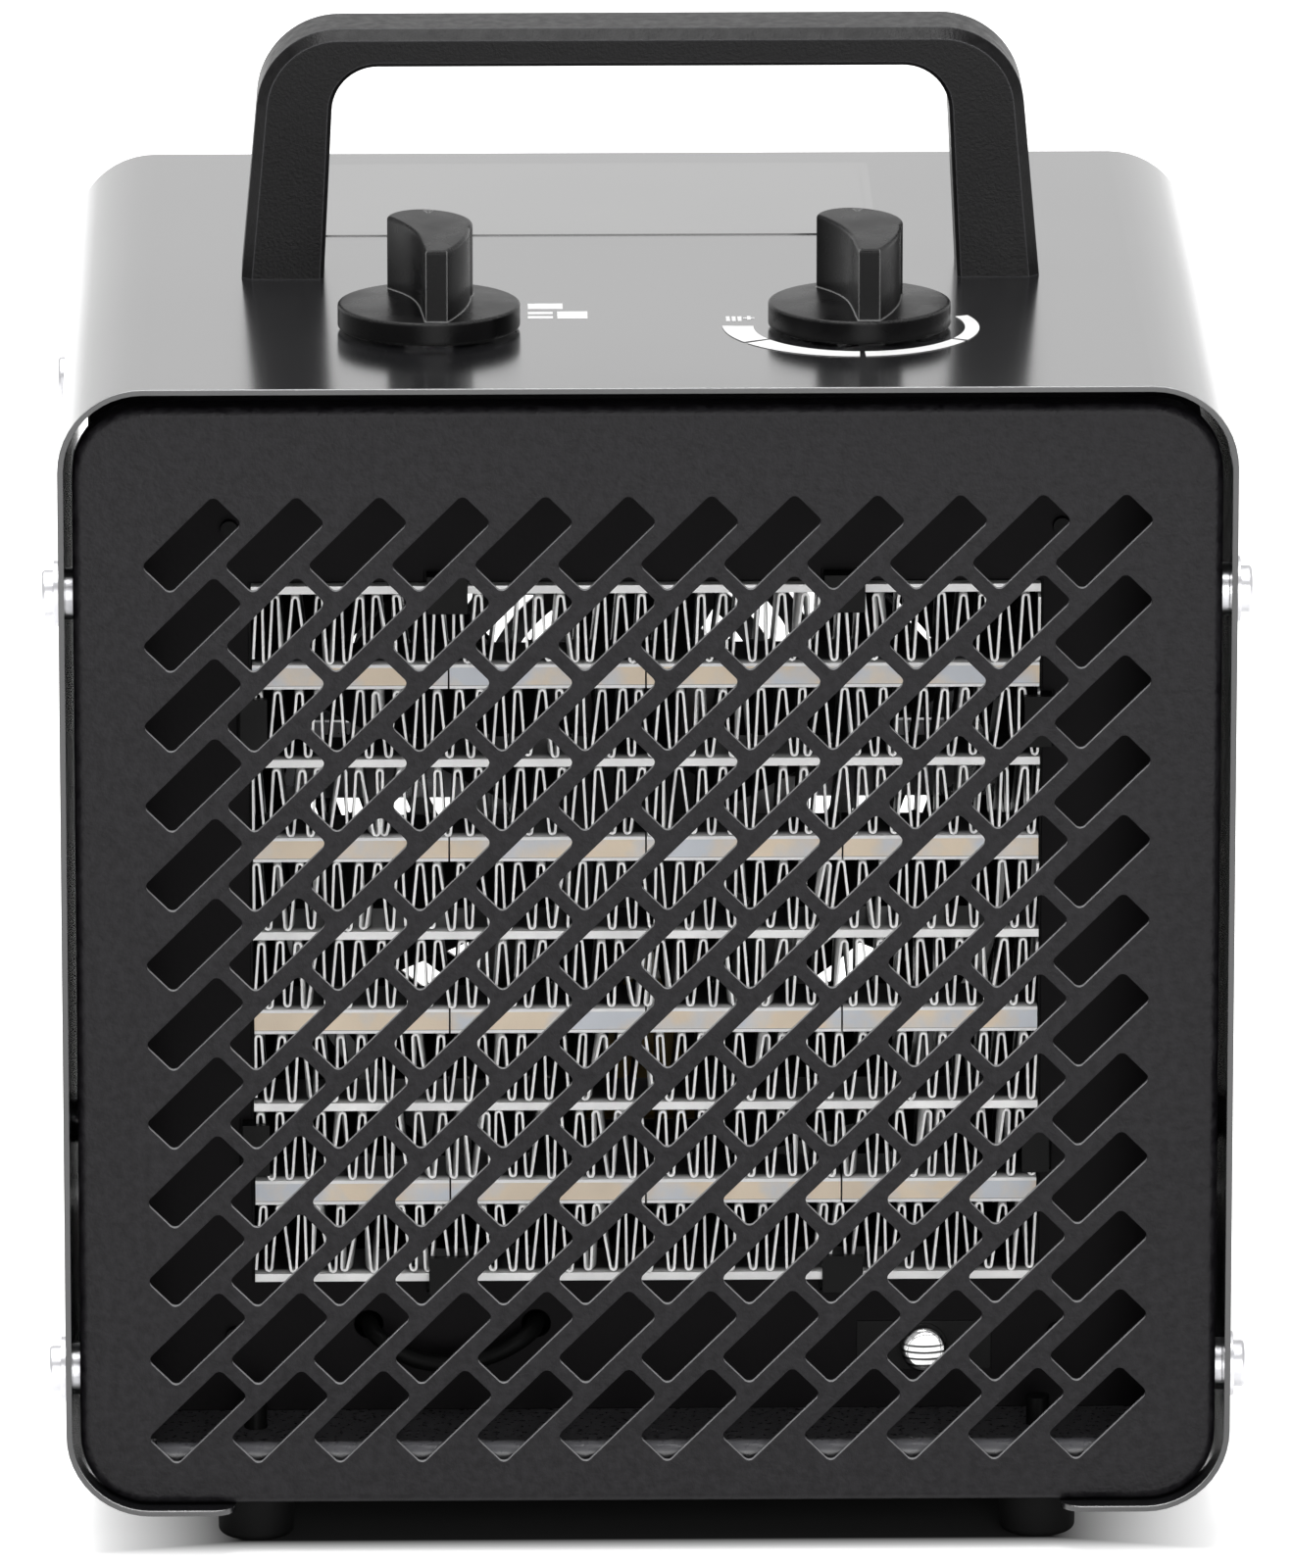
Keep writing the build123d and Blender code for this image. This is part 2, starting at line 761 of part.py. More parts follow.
def lead(points, name):
    """Round lead that follows the points on straight runs and tangent arcs."""
    radii = lead_radii(points)
    with BuildPart() as wire:
        with BuildLine() as path:
            FilletPolyline(*points, radius=radii)
        with BuildSketch(path.line ^ 0):
            Circle(lead_diameter / 2)
        sweep()
    section = 3.1416 * (lead_diameter / 2) ** 2
    print(name, "bends", [round(radius, 1) for radius in radii])
    print(name, "volume", round(wire.part.volume), "expected", round(section * path.wire().length))
    return wire


# Lead from the lowest contact plate to the cut-out, hanging in front of the baffle
lead_start_x = lead_diameter - holder_outside - terminal_length
lead_front = baffle_front - lead_front_reach
lead_middle_x = (lead_hole_left_x + lead_hole_right_x) / 2
lead_low_z = floor_top + lead_sag_rise
element_lead = lead(
    [
        (lead_start_x, core_mid_y, plate_z(0) - terminal_thickness / 2),
        (lead_start_x, core_mid_y, plate_z(0) - 6.0),
        (lead_start_x + 2.0, core_mid_y + 4.0, plate_z(0) - 11.0),
        (lead_hole_left_x - 12.0, core_mid_y + 4.5, lead_hole_z + 1.0),
        (lead_hole_left_x, core_mid_y - 1.0, lead_hole_z),
        (lead_hole_left_x + 0.5, lead_front, lead_hole_z - 0.5),
        (lead_middle_x - 6.0, lead_front, lead_low_z),
        (lead_middle_x + 5.0, lead_front, lead_low_z + 0.4),
        (lead_hole_right_x - 0.5, lead_front, lead_hole_z - 0.5),
        (lead_hole_right_x, core_mid_y - 1.0, lead_hole_z),
        (lead_hole_right_x + 12.0, core_mid_y + 3.0, lead_hole_z - 2.0),
        (cutout_x - 12.0, carrier_back + 8.0, window_z + 1.0),
        (cutout_x, carrier_back + 7.0, window_z),
        (cutout_x, carrier_back, window_z),
    ],
    "element_lead",
)
keep(element_lead, "element_lead")

# Fan bulkhead: plate with a drawn collar round the impeller
with BuildPart() as fan_bulkhead:
    with BuildSketch(upright(bulkhead_back)) as bulkhead_face:
        with Locations((0, floor_top)):
            Rectangle(
                2 * baffle_half_width, ceiling - fit_gap - floor_top, align=(Align.CENTER, Align.MIN)
            )
        fillet(bulkhead_face.vertices().group_by(Axis.Y)[-1], baffle_corner)
    extrude(amount=steel)
    with BuildSketch(upright(bulkhead_front + collar_depth)):
        with Locations((0, axis_z)):
            Circle(collar_radius + steel)
    extrude(amount=collar_depth)
    with BuildSketch(Plane.XY.offset(floor_top)):
        with Locations((0, bulkhead_front)):
            Rectangle(2 * baffle_half_width, baffle_foot, align=(Align.CENTER, Align.MIN))
    extrude(amount=steel)
    with BuildSketch(upright(bulkhead_front + collar_depth)):
        with Locations((0, axis_z)):
            Circle(collar_radius)
    extrude(amount=collar_depth, mode=Mode.SUBTRACT)
    with BuildSketch(upright(bulkhead_back)):
        with Locations((-bracket_screw_x, axis_z), (bracket_screw_x, axis_z)):
            Circle(motor_screw_diameter / 2)
        with Locations((supply_x, supply_z)):
            Circle(lead_diameter / 2 + lead_hole_gap)
    extrude(amount=steel, mode=Mode.SUBTRACT)
keep(fan_bulkhead, "fan_bulkhead")


def blade_plane(radius, turn, pitch):
    """Plane across a blade at a radius from the fan's axis, turned round it and set to its pitch."""
    outward = Vector(sin(radians(turn)), 0, cos(radians(turn)))
    around = Vector(cos(radians(turn)), 0, -sin(radians(turn)))
    chord = around * cos(radians(pitch)) + Vector(0, sin(radians(pitch)), 0)
    centre = Vector(0, (impeller_front + impeller_back) / 2, axis_z) + outward * radius
    return Plane(origin=centre, x_dir=chord, z_dir=outward)


# Fan impeller: cup-shaped hub with twisted blades
with BuildPart() as fan_impeller:
    with BuildSketch(upright(impeller_back)):
        with Locations((0, axis_z)):
            Circle(impeller_hub_radius)
    extrude(amount=impeller_hub_depth)
    for blade in range(blade_count):
        turn = blade * 360 / blade_count
        root_plane = blade_plane(impeller_hub_radius - blade_root_sink, turn, blade_root_pitch)
        tip_plane = blade_plane(impeller_radius, turn, blade_tip_pitch)
        with BuildSketch(root_plane):
            Rectangle(blade_root_chord, blade_thickness)
        with BuildSketch(tip_plane):
            Rectangle(blade_tip_chord, blade_thickness)
        loft()
    with BuildSketch(upright(impeller_back)):
        with Locations((0, axis_z)):
            Circle(impeller_hub_radius - hub_skin)
            Circle(hub_boss_radius, mode=Mode.SUBTRACT)
    extrude(amount=impeller_hub_depth - hub_skin, mode=Mode.SUBTRACT)
    with BuildSketch(upright(impeller_back)):
        with Locations((0, axis_z)):
            Circle(shaft_diameter / 2)
    extrude(amount=impeller_hub_depth - hub_skin, mode=Mode.SUBTRACT)
keep(fan_impeller, "fan_impeller")

with BuildPart() as motor_shaft:
    with BuildSketch(upright(shaft_rear)):
        with Locations((0, axis_z)):
            Circle(shaft_diameter / 2)
    extrude(amount=shaft_rear - impeller_front - hub_skin)
keep(motor_shaft, "motor_shaft")

with BuildPart() as motor_rotor:
    with BuildSketch(upright(stack_back)):
        with Locations((0, axis_z)):
            Circle(rotor_diameter / 2)
            Circle(shaft_diameter / 2, mode=Mode.SUBTRACT)
    extrude(amount=stack_depth)
keep(motor_rotor, "motor_rotor")

# Stator stack with the rotor's bore, and its coil round the bottom leg
leg_bottom = axis_z - stack_height_down
leg_top = leg_bottom + coil_leg_height
motor_screw_xs = (-motor_screw_spacing / 2, motor_screw_spacing / 2)
with BuildPart() as stator_stack:
    with BuildSketch(upright(stack_back)):
        with Locations((0, leg_bottom)):
            Rectangle(
                stack_width, stack_height_up + stack_height_down, align=(Align.CENTER, Align.MIN)
            )
        with Locations((0, leg_top)):
            Rectangle(
                coil_window_width, coil_window_height, align=(Align.CENTER, Align.MIN),
                mode=Mode.SUBTRACT,
            )
        with Locations((0, axis_z)):
            Circle(rotor_diameter / 2 + air_gap, mode=Mode.SUBTRACT)
        with Locations([(x, axis_z) for x in motor_screw_xs]):
            Circle(motor_screw_diameter / 2, mode=Mode.SUBTRACT)
    extrude(amount=stack_depth)
keep(stator_stack, "stator_stack")

with BuildPart() as motor_coil:
    with BuildSketch(side_plane(coil_window_width / 2 - coil_side_gap, 1)) as coil_section:
        with Locations(((stack_front + stack_back) / 2, (leg_bottom + leg_top) / 2)):
            RectangleRounded(
                stack_depth + 2 * coil_wall, coil_leg_height + 2 * coil_wall, coil_wall / 2
            )
            Rectangle(stack_depth, coil_leg_height, mode=Mode.SUBTRACT)
    extrude(amount=-(coil_window_width - 2 * coil_side_gap))
keep(motor_coil, "motor_coil")


def bearing_bridge(face_y, inward):
    """Bridge over one face of the stack; inward is 1 in front of the stack, -1 behind it."""
    with BuildPart() as bridge:
        with BuildSketch(upright(face_y)):
            with Locations((0, axis_z)):
                Rectangle(stack_width, bridge_height)
        extrude(amount=-inward * bridge_thickness)
        with BuildSketch(upright(face_y)):
            with Locations([(x, axis_z) for x in motor_screw_xs]):
                Rectangle(stack_width - motor_screw_spacing, bridge_height)
        extrude(amount=-inward * (bridge_thickness + bridge_stand))
        with BuildSketch(upright(face_y)):
            with Locations((0, axis_z)):
                Circle(bush_hub_diameter / 2)
        extrude(amount=-inward * bush_length)
        with BuildSketch(upright(face_y)):
            with Locations((0, axis_z)):
                Circle(bush_diameter / 2)
            with Locations([(x, axis_z) for x in motor_screw_xs]):
                Circle(motor_screw_diameter / 2)
        extrude(amount=-inward * (bridge_thickness + bridge_stand), mode=Mode.SUBTRACT)
    return bridge


bearing_bridge_front = bearing_bridge(bridge_front, 1)
keep(bearing_bridge_front, "bearing_bridge_front")

bearing_bridge_rear = bearing_bridge(bridge_back, -1)
keep(bearing_bridge_rear, "bearing_bridge_rear")

with BuildPart() as bearing_bushes:
    for bush_back in (bridge_front + bush_length, bridge_back):
        with BuildSketch(upright(bush_back)):
            with Locations((0, axis_z)):
                Circle(bush_diameter / 2)
                Circle(shaft_diameter / 2 + running_gap, mode=Mode.SUBTRACT)
        extrude(amount=bush_length)
keep(bearing_bushes, "bearing_bushes")

# Bracket that carries the motor behind the impeller
bracket_back = bridge_back + bracket_thickness
with BuildPart() as motor_bracket:
    with BuildSketch(Plane.XY.offset(axis_z - bracket_width / 2)):
        with Locations((0, bridge_back)):
            Rectangle(2 * bracket_half_span, bracket_thickness, align=(Align.CENTER, Align.MIN))
        for side in (-1, 1):
            with Locations((side * (bracket_half_span - bracket_thickness / 2), bulkhead_back)):
                Rectangle(
                    bracket_thickness, bracket_back - bulkhead_back, align=(Align.CENTER, Align.MIN)
                )
            with Locations((side * bracket_screw_x, bulkhead_back)):
                Rectangle(
                    bracket_foot + 2 * bracket_thickness, bracket_thickness,
                    align=(Align.CENTER, Align.MIN),
                )
    extrude(amount=bracket_width)
    with BuildSketch(upright(bracket_back)):
        with Locations((0, axis_z)):
            Circle(bush_diameter / 2)
        with Locations([(x, axis_z) for x in motor_screw_xs]):
            Circle(motor_screw_diameter / 2)
    extrude(amount=bracket_thickness, mode=Mode.SUBTRACT)
    with BuildSketch(upright(bulkhead_back + bracket_thickness)):
        with Locations((-bracket_screw_x, axis_z), (bracket_screw_x, axis_z)):
            Circle(motor_screw_diameter / 2)
    extrude(amount=bracket_thickness, mode=Mode.SUBTRACT)
keep(motor_bracket, "motor_bracket")


def pan_screws(spots, head_y, length):
    """Screws along Y that enter towards the front; the underside of each head is at head_y."""
    with BuildPart() as screws:
        with BuildSketch(upright(head_y)):
            with Locations(spots):
                Circle(motor_screw_diameter / 2)
        extrude(amount=length)
        with BuildSketch(upright(head_y + motor_screw_head_height)):
            with Locations(spots):
                Circle(motor_screw_head / 2)
        extrude(amount=motor_screw_head_height)
    return screws


motor_screws = pan_screws([(x, axis_z) for x in motor_screw_xs], bracket_back, bracket_back - bridge_front)
keep(motor_screws, "motor_screws")

bracket_screws = pan_screws(
    [(-bracket_screw_x, axis_z), (bracket_screw_x, axis_z)],
    bulkhead_back + bracket_thickness,
    bracket_thickness + steel + bracket_screw_point,
)
keep(bracket_screws, "bracket_screws")


# Rotary controls under the top, each with a bush through the cover
def control_bush(centre_x):
    """Threaded bush of a control, with the spindle's round bore."""
    with BuildPart() as bush:
        with BuildSketch(Plane.XY.offset(ceiling)):
            with Locations((centre_x, knob_y)):
                Circle(bushing_diameter / 2)
        extrude(amount=steel + bushing_rise)
    return bush.part


def spade_row(centre_x, count, body_height):
    """Flat spade terminals that hang from the underside of a control's body."""
    with BuildPart() as spades:
        with BuildSketch(Plane.XY.offset(ceiling - body_height)):
            with Locations((centre_x, knob_y)):
                with GridLocations(spade_pitch, 0, count, 1):
                    Rectangle(spade_width, spade_thickness)
        extrude(amount=-spade_length)
    return spades.part


def bore_for_spindle(centre_x):
    """Plug that leaves the spindle's running bore when it is taken away."""
    with BuildPart() as plug:
        with BuildSketch(Plane.XY.offset(spindle_foot - fit_gap)):
            with Locations((centre_x, knob_y)):
                Circle(spindle_diameter / 2 + running_gap)
        extrude(amount=spindle_sink + fit_gap + steel + bushing_rise)
    return plug.part


switch_bush = control_bush(switch_x)
switch_spades = spade_row(switch_x, 3, switch_body_height)
switch_bore = bore_for_spindle(switch_x)
with BuildPart() as switch_body:
    with BuildSketch(Plane.XY.offset(ceiling)):
        with Locations((switch_x, knob_y)):
            RectangleRounded(switch_body_width, switch_body_width, lip_corner)
    extrude(amount=-switch_body_height)
    add(switch_bush)
    add(switch_spades)
    add(switch_bore, mode=Mode.SUBTRACT)
keep(switch_body, "switch_body")

thermostat_bush = control_bush(thermostat_x)
thermostat_spades = spade_row(thermostat_x, 2, thermostat_body_height)
thermostat_bore = bore_for_spindle(thermostat_x)
with BuildPart() as thermostat_body:
    with BuildSketch(Plane.XY.offset(ceiling)):
        with Locations((thermostat_x, knob_y)):
            Circle(thermostat_body_radius)
    extrude(amount=-thermostat_body_height)
    add(thermostat_bush)
    add(thermostat_spades)
    add(thermostat_bore, mode=Mode.SUBTRACT)
keep(thermostat_body, "thermostat_body")

with BuildPart() as control_nuts:
    with BuildSketch(Plane.XY.offset(case_top)):
        with Locations((switch_x, knob_y), (thermostat_x, knob_y)):
            RegularPolygon(control_nut_flats / 2, 6, major_radius=False)
            Circle(bushing_diameter / 2, mode=Mode.SUBTRACT)
    extrude(amount=control_nut_height)
keep(control_nuts, "control_nuts")


def flatted_section(centre_x, z):
    """Section of a spindle at height z: round, with one flat on its left side."""
    with BuildSketch(Plane((centre_x, knob_y, z))) as section:
        Circle(spindle_diameter / 2)
        with Locations((spindle_flat - spindle_diameter / 2, 0)):
            Rectangle(
                spindle_diameter, spindle_diameter, align=(Align.MAX, Align.CENTER),
                mode=Mode.SUBTRACT,
            )
    return section.sketch


def spindle(centre_x):
    """Spindle that turns in a control's bush and carries its knob."""
    flat_start = case_top + bushing_rise
    with BuildPart() as rod:
        with BuildSketch(Plane.XY.offset(spindle_foot)):
            with Locations((centre_x, knob_y)):
                Circle(spindle_diameter / 2)
        extrude(amount=flat_start - spindle_foot)
        extrude(flatted_section(centre_x, flat_start), amount=spindle_top - flat_start)
    return rod


def knob(centre_x):
    """Control knob: low disc with a bladed grip, hollow underneath for the control's nut."""
    rim_y = -(grip_reach**2 - grip_nose_right**2) ** 0.5
    axis_plane = Plane(origin=(centre_x, knob_y, 0), x_dir=(1, 0, 0), z_dir=(0, -1, 0))
    with BuildPart() as turned_knob:
        with BuildSketch(axis_plane):
            with BuildLine():
                Polyline(
                    (0, knob_bottom),
                    (knob_radius, knob_bottom),
                    (knob_radius, knob_rim_top),
                    (0, knob_rim_top + knob_crown),
                    close=True,
                )
            make_face()
        revolve(axis=Axis((centre_x, knob_y, 0), (0, 0, 1)))
        rim_edges = turned_knob.edges().filter_by(GeomType.CIRCLE).group_by(SortBy.RADIUS)[-1]
        fillet(rim_edges, knob_edge_round)
        with BuildSketch(Plane((centre_x, knob_y, knob_ceiling))):
            with BuildLine():
                Line((grip_nose_left, rim_y), (grip_nose_right, rim_y))
                ThreePointArc(
                    (grip_nose_right, rim_y),
                    (grip_right_bulge_x, grip_right_bulge_y),
                    (grip_half_width, grip_widest_y),
                )
                ThreePointArc(
                    (grip_half_width, grip_widest_y),
                    (grip_right_shoulder_x, grip_right_shoulder_y),
                    (0, grip_reach),
                )
                ThreePointArc(
                    (0, grip_reach),
                    (grip_left_shoulder_x, grip_left_shoulder_y),
                    (-grip_half_width, grip_heel_y),
                )
                ThreePointArc(
                    (-grip_half_width, grip_heel_y),
                    (grip_hollow_x, grip_hollow_y),
                    (grip_waist_x, grip_waist_y),
                )
                Line((grip_waist_x, grip_waist_y), (grip_nose_left, rim_y))
            make_face()
        extrude(amount=case_top + grip_height_back - knob_ceiling)
        with BuildSketch(side_plane(centre_x + knob_radius, 1)):
            with BuildLine():
                Polyline(
                    (knob_y - knob_radius, case_top + grip_height_front),
                    (knob_y + knob_radius, case_top + grip_height_back),
                    (knob_y + knob_radius, case_top + 2 * grip_height_back),
                    (knob_y - knob_radius, case_top + 2 * grip_height_back),
                    close=True,
                )
            make_face()
        extrude(amount=-2 * knob_radius, mode=Mode.SUBTRACT)
        fillet(turned_knob.faces().sort_by(Axis.Z)[-1].edges(), grip_edge_round)
        pointer_y = knob_y + grip_reach - pointer_inset
        with BuildSketch(Plane((centre_x, pointer_y, case_top + grip_height_back))):
            with BuildLine():
                Polyline(
                    (-pointer_width / 2, 0),
                    (0, -pointer_length),
                    (pointer_width / 2, 0),
                    close=True,
                )
            make_face()
        extrude(amount=-pointer_depth, mode=Mode.SUBTRACT)
        with BuildSketch(Plane((centre_x, knob_y, knob_bottom))):
            Circle(knob_recess_radius)
        extrude(amount=knob_recess_depth, mode=Mode.SUBTRACT)
        extrude(
            flatted_section(centre_x, knob_bottom), amount=spindle_top - knob_bottom, mode=Mode.SUBTRACT
        )
    return turned_knob


switch_spindle = spindle(switch_x)
keep(switch_spindle, "switch_spindle")

thermostat_spindle = spindle(thermostat_x)
keep(thermostat_spindle, "thermostat_spindle")

switch_knob = knob(switch_x)
keep(switch_knob, "switch_knob")

thermostat_knob = knob(thermostat_x)
keep(thermostat_knob, "thermostat_knob")

# Carrying handle: one moulded loop, screwed on from inside the case
grip_underside = case_top + handle_height - grip_thickness
leg_base_inside = handle_base_half_width - leg_base_width
leg_shoulder_inside = handle_shoulder_half_width - leg_shoulder_width
handle_screw_spots = [
    (side * leg_mid_x, handle_mid_y + offset)
    for side in (-1, 1)
    for offset in (-handle_screw_spacing / 2, handle_screw_spacing / 2)
]
with BuildPart() as handle:
    with BuildSketch(upright(handle_back)) as handle_outline:
        with BuildLine():
            Polyline(
                (-handle_base_half_width, case_top),
                (-handle_shoulder_half_width, case_top + handle_height),
                (handle_shoulder_half_width, case_top + handle_height),
                (handle_base_half_width, case_top),
                close=True,
            )
        make_face()
        fillet(handle_outline.vertices().group_by(Axis.Y)[-1], handle_outer_corner)
    extrude(amount=handle_depth)
    outer_edges = handle.faces().filter_by(Axis.Y).edges().filter_by(
        lambda edge: edge.center().Z > case_top + fit_gap
    )
    chamfer(outer_edges, handle_chamfer)
    with BuildSketch(upright(handle_back)) as finger_gap:
        with BuildLine():
            Polyline(
                (-leg_base_inside, case_top),
                (-leg_shoulder_inside, grip_underside),
                (leg_shoulder_inside, grip_underside),
                (leg_base_inside, case_top),
                close=True,
            )
        make_face()
        fillet(finger_gap.vertices().group_by(Axis.Y)[-1], handle_inner_corner)
    extrude(amount=handle_depth, mode=Mode.SUBTRACT)
    inner_edges = handle.edges(Select.LAST).filter_by(
        lambda edge: edge.center().Z > case_top + fit_gap
        and abs(abs(edge.center().Y - handle_mid_y) - handle_depth / 2) < fit_gap
    )
    chamfer(inner_edges, handle_inner_chamfer)
    with BuildSketch(Plane.XY.offset(case_top)):
        with Locations(handle_screw_spots):
            Circle(handle_screw_diameter / 2)
    extrude(amount=handle_screw_depth, mode=Mode.SUBTRACT)
keep(handle, "handle")

with BuildPart() as handle_screws:
    with BuildSketch(Plane.XY.offset(ceiling)):
        with Locations(handle_screw_spots):
            Circle(handle_screw_diameter / 2)
    extrude(amount=steel + handle_screw_depth - fit_gap)
    with BuildSketch(Plane.XY.offset(ceiling - handle_screw_head_height)):
        with Locations(handle_screw_spots):
            Circle(handle_screw_head / 2)
    extrude(amount=handle_screw_head_height)
keep(handle_screws, "handle_screws")

# Bare label plate on the top
with BuildPart() as label_plate:
    with BuildSketch(Plane.XY.offset(case_top)):
        with Locations((label_offset, front_y + label_setback + label_depth / 2)):
            RectangleRounded(label_width, label_depth, label_corner)
    extrude(amount=label_thickness)
keep(label_plate, "label_plate")

# Case screws and the rivet nuts behind them
with BuildPart() as case_screws:
    for side in (-1, 1):
        spots = [(side * y, z) for y in case_screw_ys for z in case_screw_zs]
        outside = side * case_width / 2
        with BuildSketch(side_plane(outside, side)):
            with Locations(spots):
                Circle(case_screw_flange / 2)
        extrude(amount=case_screw_flange_height)
        with BuildSketch(side_plane(outside, side)):
            with Locations(spots):
                Circle(case_screw_head / 2)
        extrude(amount=case_screw_flange_height + case_screw_head_height)
        with BuildSketch(side_plane(outside, side)):
            with Locations(spots):
                Circle(case_screw_diameter / 2)
        extrude(amount=-case_screw_length)
    head_edges = case_screws.edges().filter_by(GeomType.CIRCLE).filter_by(
        lambda edge: abs(edge.center().X)
        > case_width / 2 + case_screw_flange_height + case_screw_head_height - fit_gap
    )
    fillet(head_edges, case_screw_round)
    for side in (-1, 1):
        spots = [(side * y, z) for y in case_screw_ys for z in case_screw_zs]
        head_top = side * (case_width / 2 + case_screw_flange_height + case_screw_head_height)
        with BuildSketch(side_plane(head_top, side)):
            with Locations(spots):
                Rectangle(case_screw_recess, case_screw_recess_width)
                Rectangle(case_screw_recess_width, case_screw_recess)
        extrude(amount=-case_screw_recess_depth, mode=Mode.SUBTRACT)
keep(case_screws, "case_screws")

with BuildPart() as rivet_nuts:
    for side in (-1, 1):
        spots = [(side * y, z) for y in case_screw_ys for z in case_screw_zs]
        with BuildSketch(side_plane(side * wall_inside, side)):
            with Locations(spots):
                Circle(rivet_flange / 2)
        extrude(amount=-panel_side_gap)
        with BuildSketch(side_plane(side * wall_inside, side)):
            with Locations(spots):
                Circle(rivet_body / 2)
        extrude(amount=-(panel_side_gap + rivet_body_length))
        with BuildSketch(side_plane(side * wall_inside, side)):
            with Locations(spots):
                Circle(case_screw_diameter / 2)
        extrude(amount=-(panel_side_gap + rivet_body_length), mode=Mode.SUBTRACT)
keep(rivet_nuts, "rivet_nuts")


# Rubber feet, screwed up into the tray
def rubber_foot(x, y):
    """Tapered foot with a well for its screw, from the floor to the tray's underside."""
    axis_plane = Plane(origin=(x, y, 0), x_dir=(1, 0, 0), z_dir=(0, -1, 0))
    with BuildPart() as foot:
        with BuildSketch(axis_plane) as foot_profile:
            with BuildLine():
                Polyline(
                    (foot_screw_well / 2, 0),
                    (foot_diameter / 2 - foot_taper, 0),
                    (foot_diameter / 2, floor_underside),
                    (foot_screw_hole / 2, floor_underside),
                    (foot_screw_hole / 2, foot_screw_well_depth),
                    (foot_screw_well / 2, foot_screw_well_depth),
                    close=True,
                )
            make_face()
            fillet(foot_profile.vertices().group_by(Axis.Y)[0].sort_by(Axis.X)[-1], foot_round)
        revolve(axis=Axis((x, y, 0), (0, 0, 1)))
    return foot


for y, row_name in zip(foot_ys, ("front", "rear")):
    for x, side_name in ((-foot_x, "left"), (foot_x, "right")):
        keep(rubber_foot(x, y), f"foot_{row_name}_{side_name}")

foot_spots = [(x, y) for x in (-foot_x, foot_x) for y in foot_ys]
with BuildPart() as foot_screws:
    with BuildSketch(Plane.XY.offset(foot_screw_well_depth)):
        with Locations(foot_spots):
            Circle(foot_screw_diameter / 2)
    extrude(amount=floor_top + foot_screw_tip - foot_screw_well_depth)
    with BuildSketch(Plane.XY.offset(foot_screw_well_depth)):
        with Locations(foot_spots):
            Circle(foot_screw_head / 2)
    extrude(amount=-foot_screw_head_height)
keep(foot_screws, "foot_screws")

# Cable gland in the rear panel, its nut, and the terminal block
with BuildPart() as cable_gland:
    with BuildSketch(upright(rear_face + gland_hex_height)):
        with Locations((gland_x, gland_z)):
            RegularPolygon(gland_hex / 2, 6, major_radius=False)
    extrude(amount=gland_hex_height)
    with BuildSketch(upright(rear_face + gland_hex_height)):
        with Locations((gland_x, gland_z)):
            Circle(gland_hex / 2 - gland_dome_inset)
    with BuildSketch(upright(rear_y + gland_reach)):
        with Locations((gland_x, gland_z)):
            Circle(gland_dome_tip / 2)
    loft()
    with BuildSketch(upright(rear_face)):
        with Locations((gland_x, gland_z)):
            Circle(gland_thread / 2)
    extrude(amount=steel + gland_inside)
    with BuildSketch(upright(rear_y + gland_reach)):
        with Locations((gland_x, gland_z)):
            Circle(gland_bore / 2)
    extrude(amount=gland_reach + panel_recess + steel + gland_inside, mode=Mode.SUBTRACT)
keep(cable_gland, "cable_gland")

with BuildPart() as gland_nut:
    with BuildSketch(upright(rear_face - steel)):
        with Locations((gland_x, gland_z)):
            RegularPolygon(gland_hex / 2, 6, major_radius=False)
            Circle(gland_thread / 2, mode=Mode.SUBTRACT)
    extrude(amount=gland_nut_height)
keep(gland_nut, "gland_nut")

block_top = floor_top + terminal_block_height
way_pitch = terminal_block_width / terminal_ways
with BuildPart() as terminal_block:
    with BuildSketch(Plane.XY.offset(floor_top)):
        with Locations((terminal_block_x, terminal_block_y)):
            Rectangle(terminal_block_width, terminal_block_depth)
    extrude(amount=terminal_block_height)
    with BuildSketch(Plane.XY.offset(block_top)):
        with Locations((terminal_block_x, terminal_block_y)):
            with GridLocations(way_pitch, terminal_block_depth / 2, terminal_ways, 2):
                Circle(terminal_well / 2)
    extrude(amount=-terminal_well_depth, mode=Mode.SUBTRACT)
keep(terminal_block, "terminal_block")

# Supply lead from the terminal block, past the motor's bracket and through the bulkhead, to the switch
spade_end_z = ceiling - switch_body_height - spade_length
way_x = terminal_block_x + way_pitch
way_y = terminal_block_y - terminal_block_depth / 4
supply_lead = lead(
    [
        (way_x, way_y, block_top - terminal_well_depth),
        (way_x, way_y, block_top + 16.0),
        (supply_x - 3.0, way_y + 1.0, block_top + 40.0),
        (supply_x, way_y, axis_z + 8.0),
        (supply_x + 0.5, way_y - 5.0, axis_z + 46.0),
        (supply_x, bulkhead_back + 40.0, supply_z - 9.5),
        (supply_x, bulkhead_back + 18.0, supply_z),
        (supply_x, bulkhead_front - 7.0, supply_z),
        (supply_x - 8.0, bulkhead_front - 21.0, supply_z - 2.5),
        (thermostat_x + 20.0, knob_y + 6.0, supply_z - 6.5),
        (thermostat_x - 16.0, knob_y + 9.0, spade_end_z - 3.5),
        (switch_x + spade_pitch + 19.0, knob_y + 8.0, spade_end_z - 13.5),
        (switch_x + spade_pitch, knob_y, spade_end_z - 12.0),
        (switch_x + spade_pitch, knob_y, spade_end_z),
    ],
    "supply_lead",
)
keep(supply_lead, "supply_lead")

print(len(finished), "pieces")
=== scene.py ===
"""Studio scene of a small ceramic fan heater in a black folded steel case."""
import logging
import math
import random
from dataclasses import dataclass, field
from enum import Enum

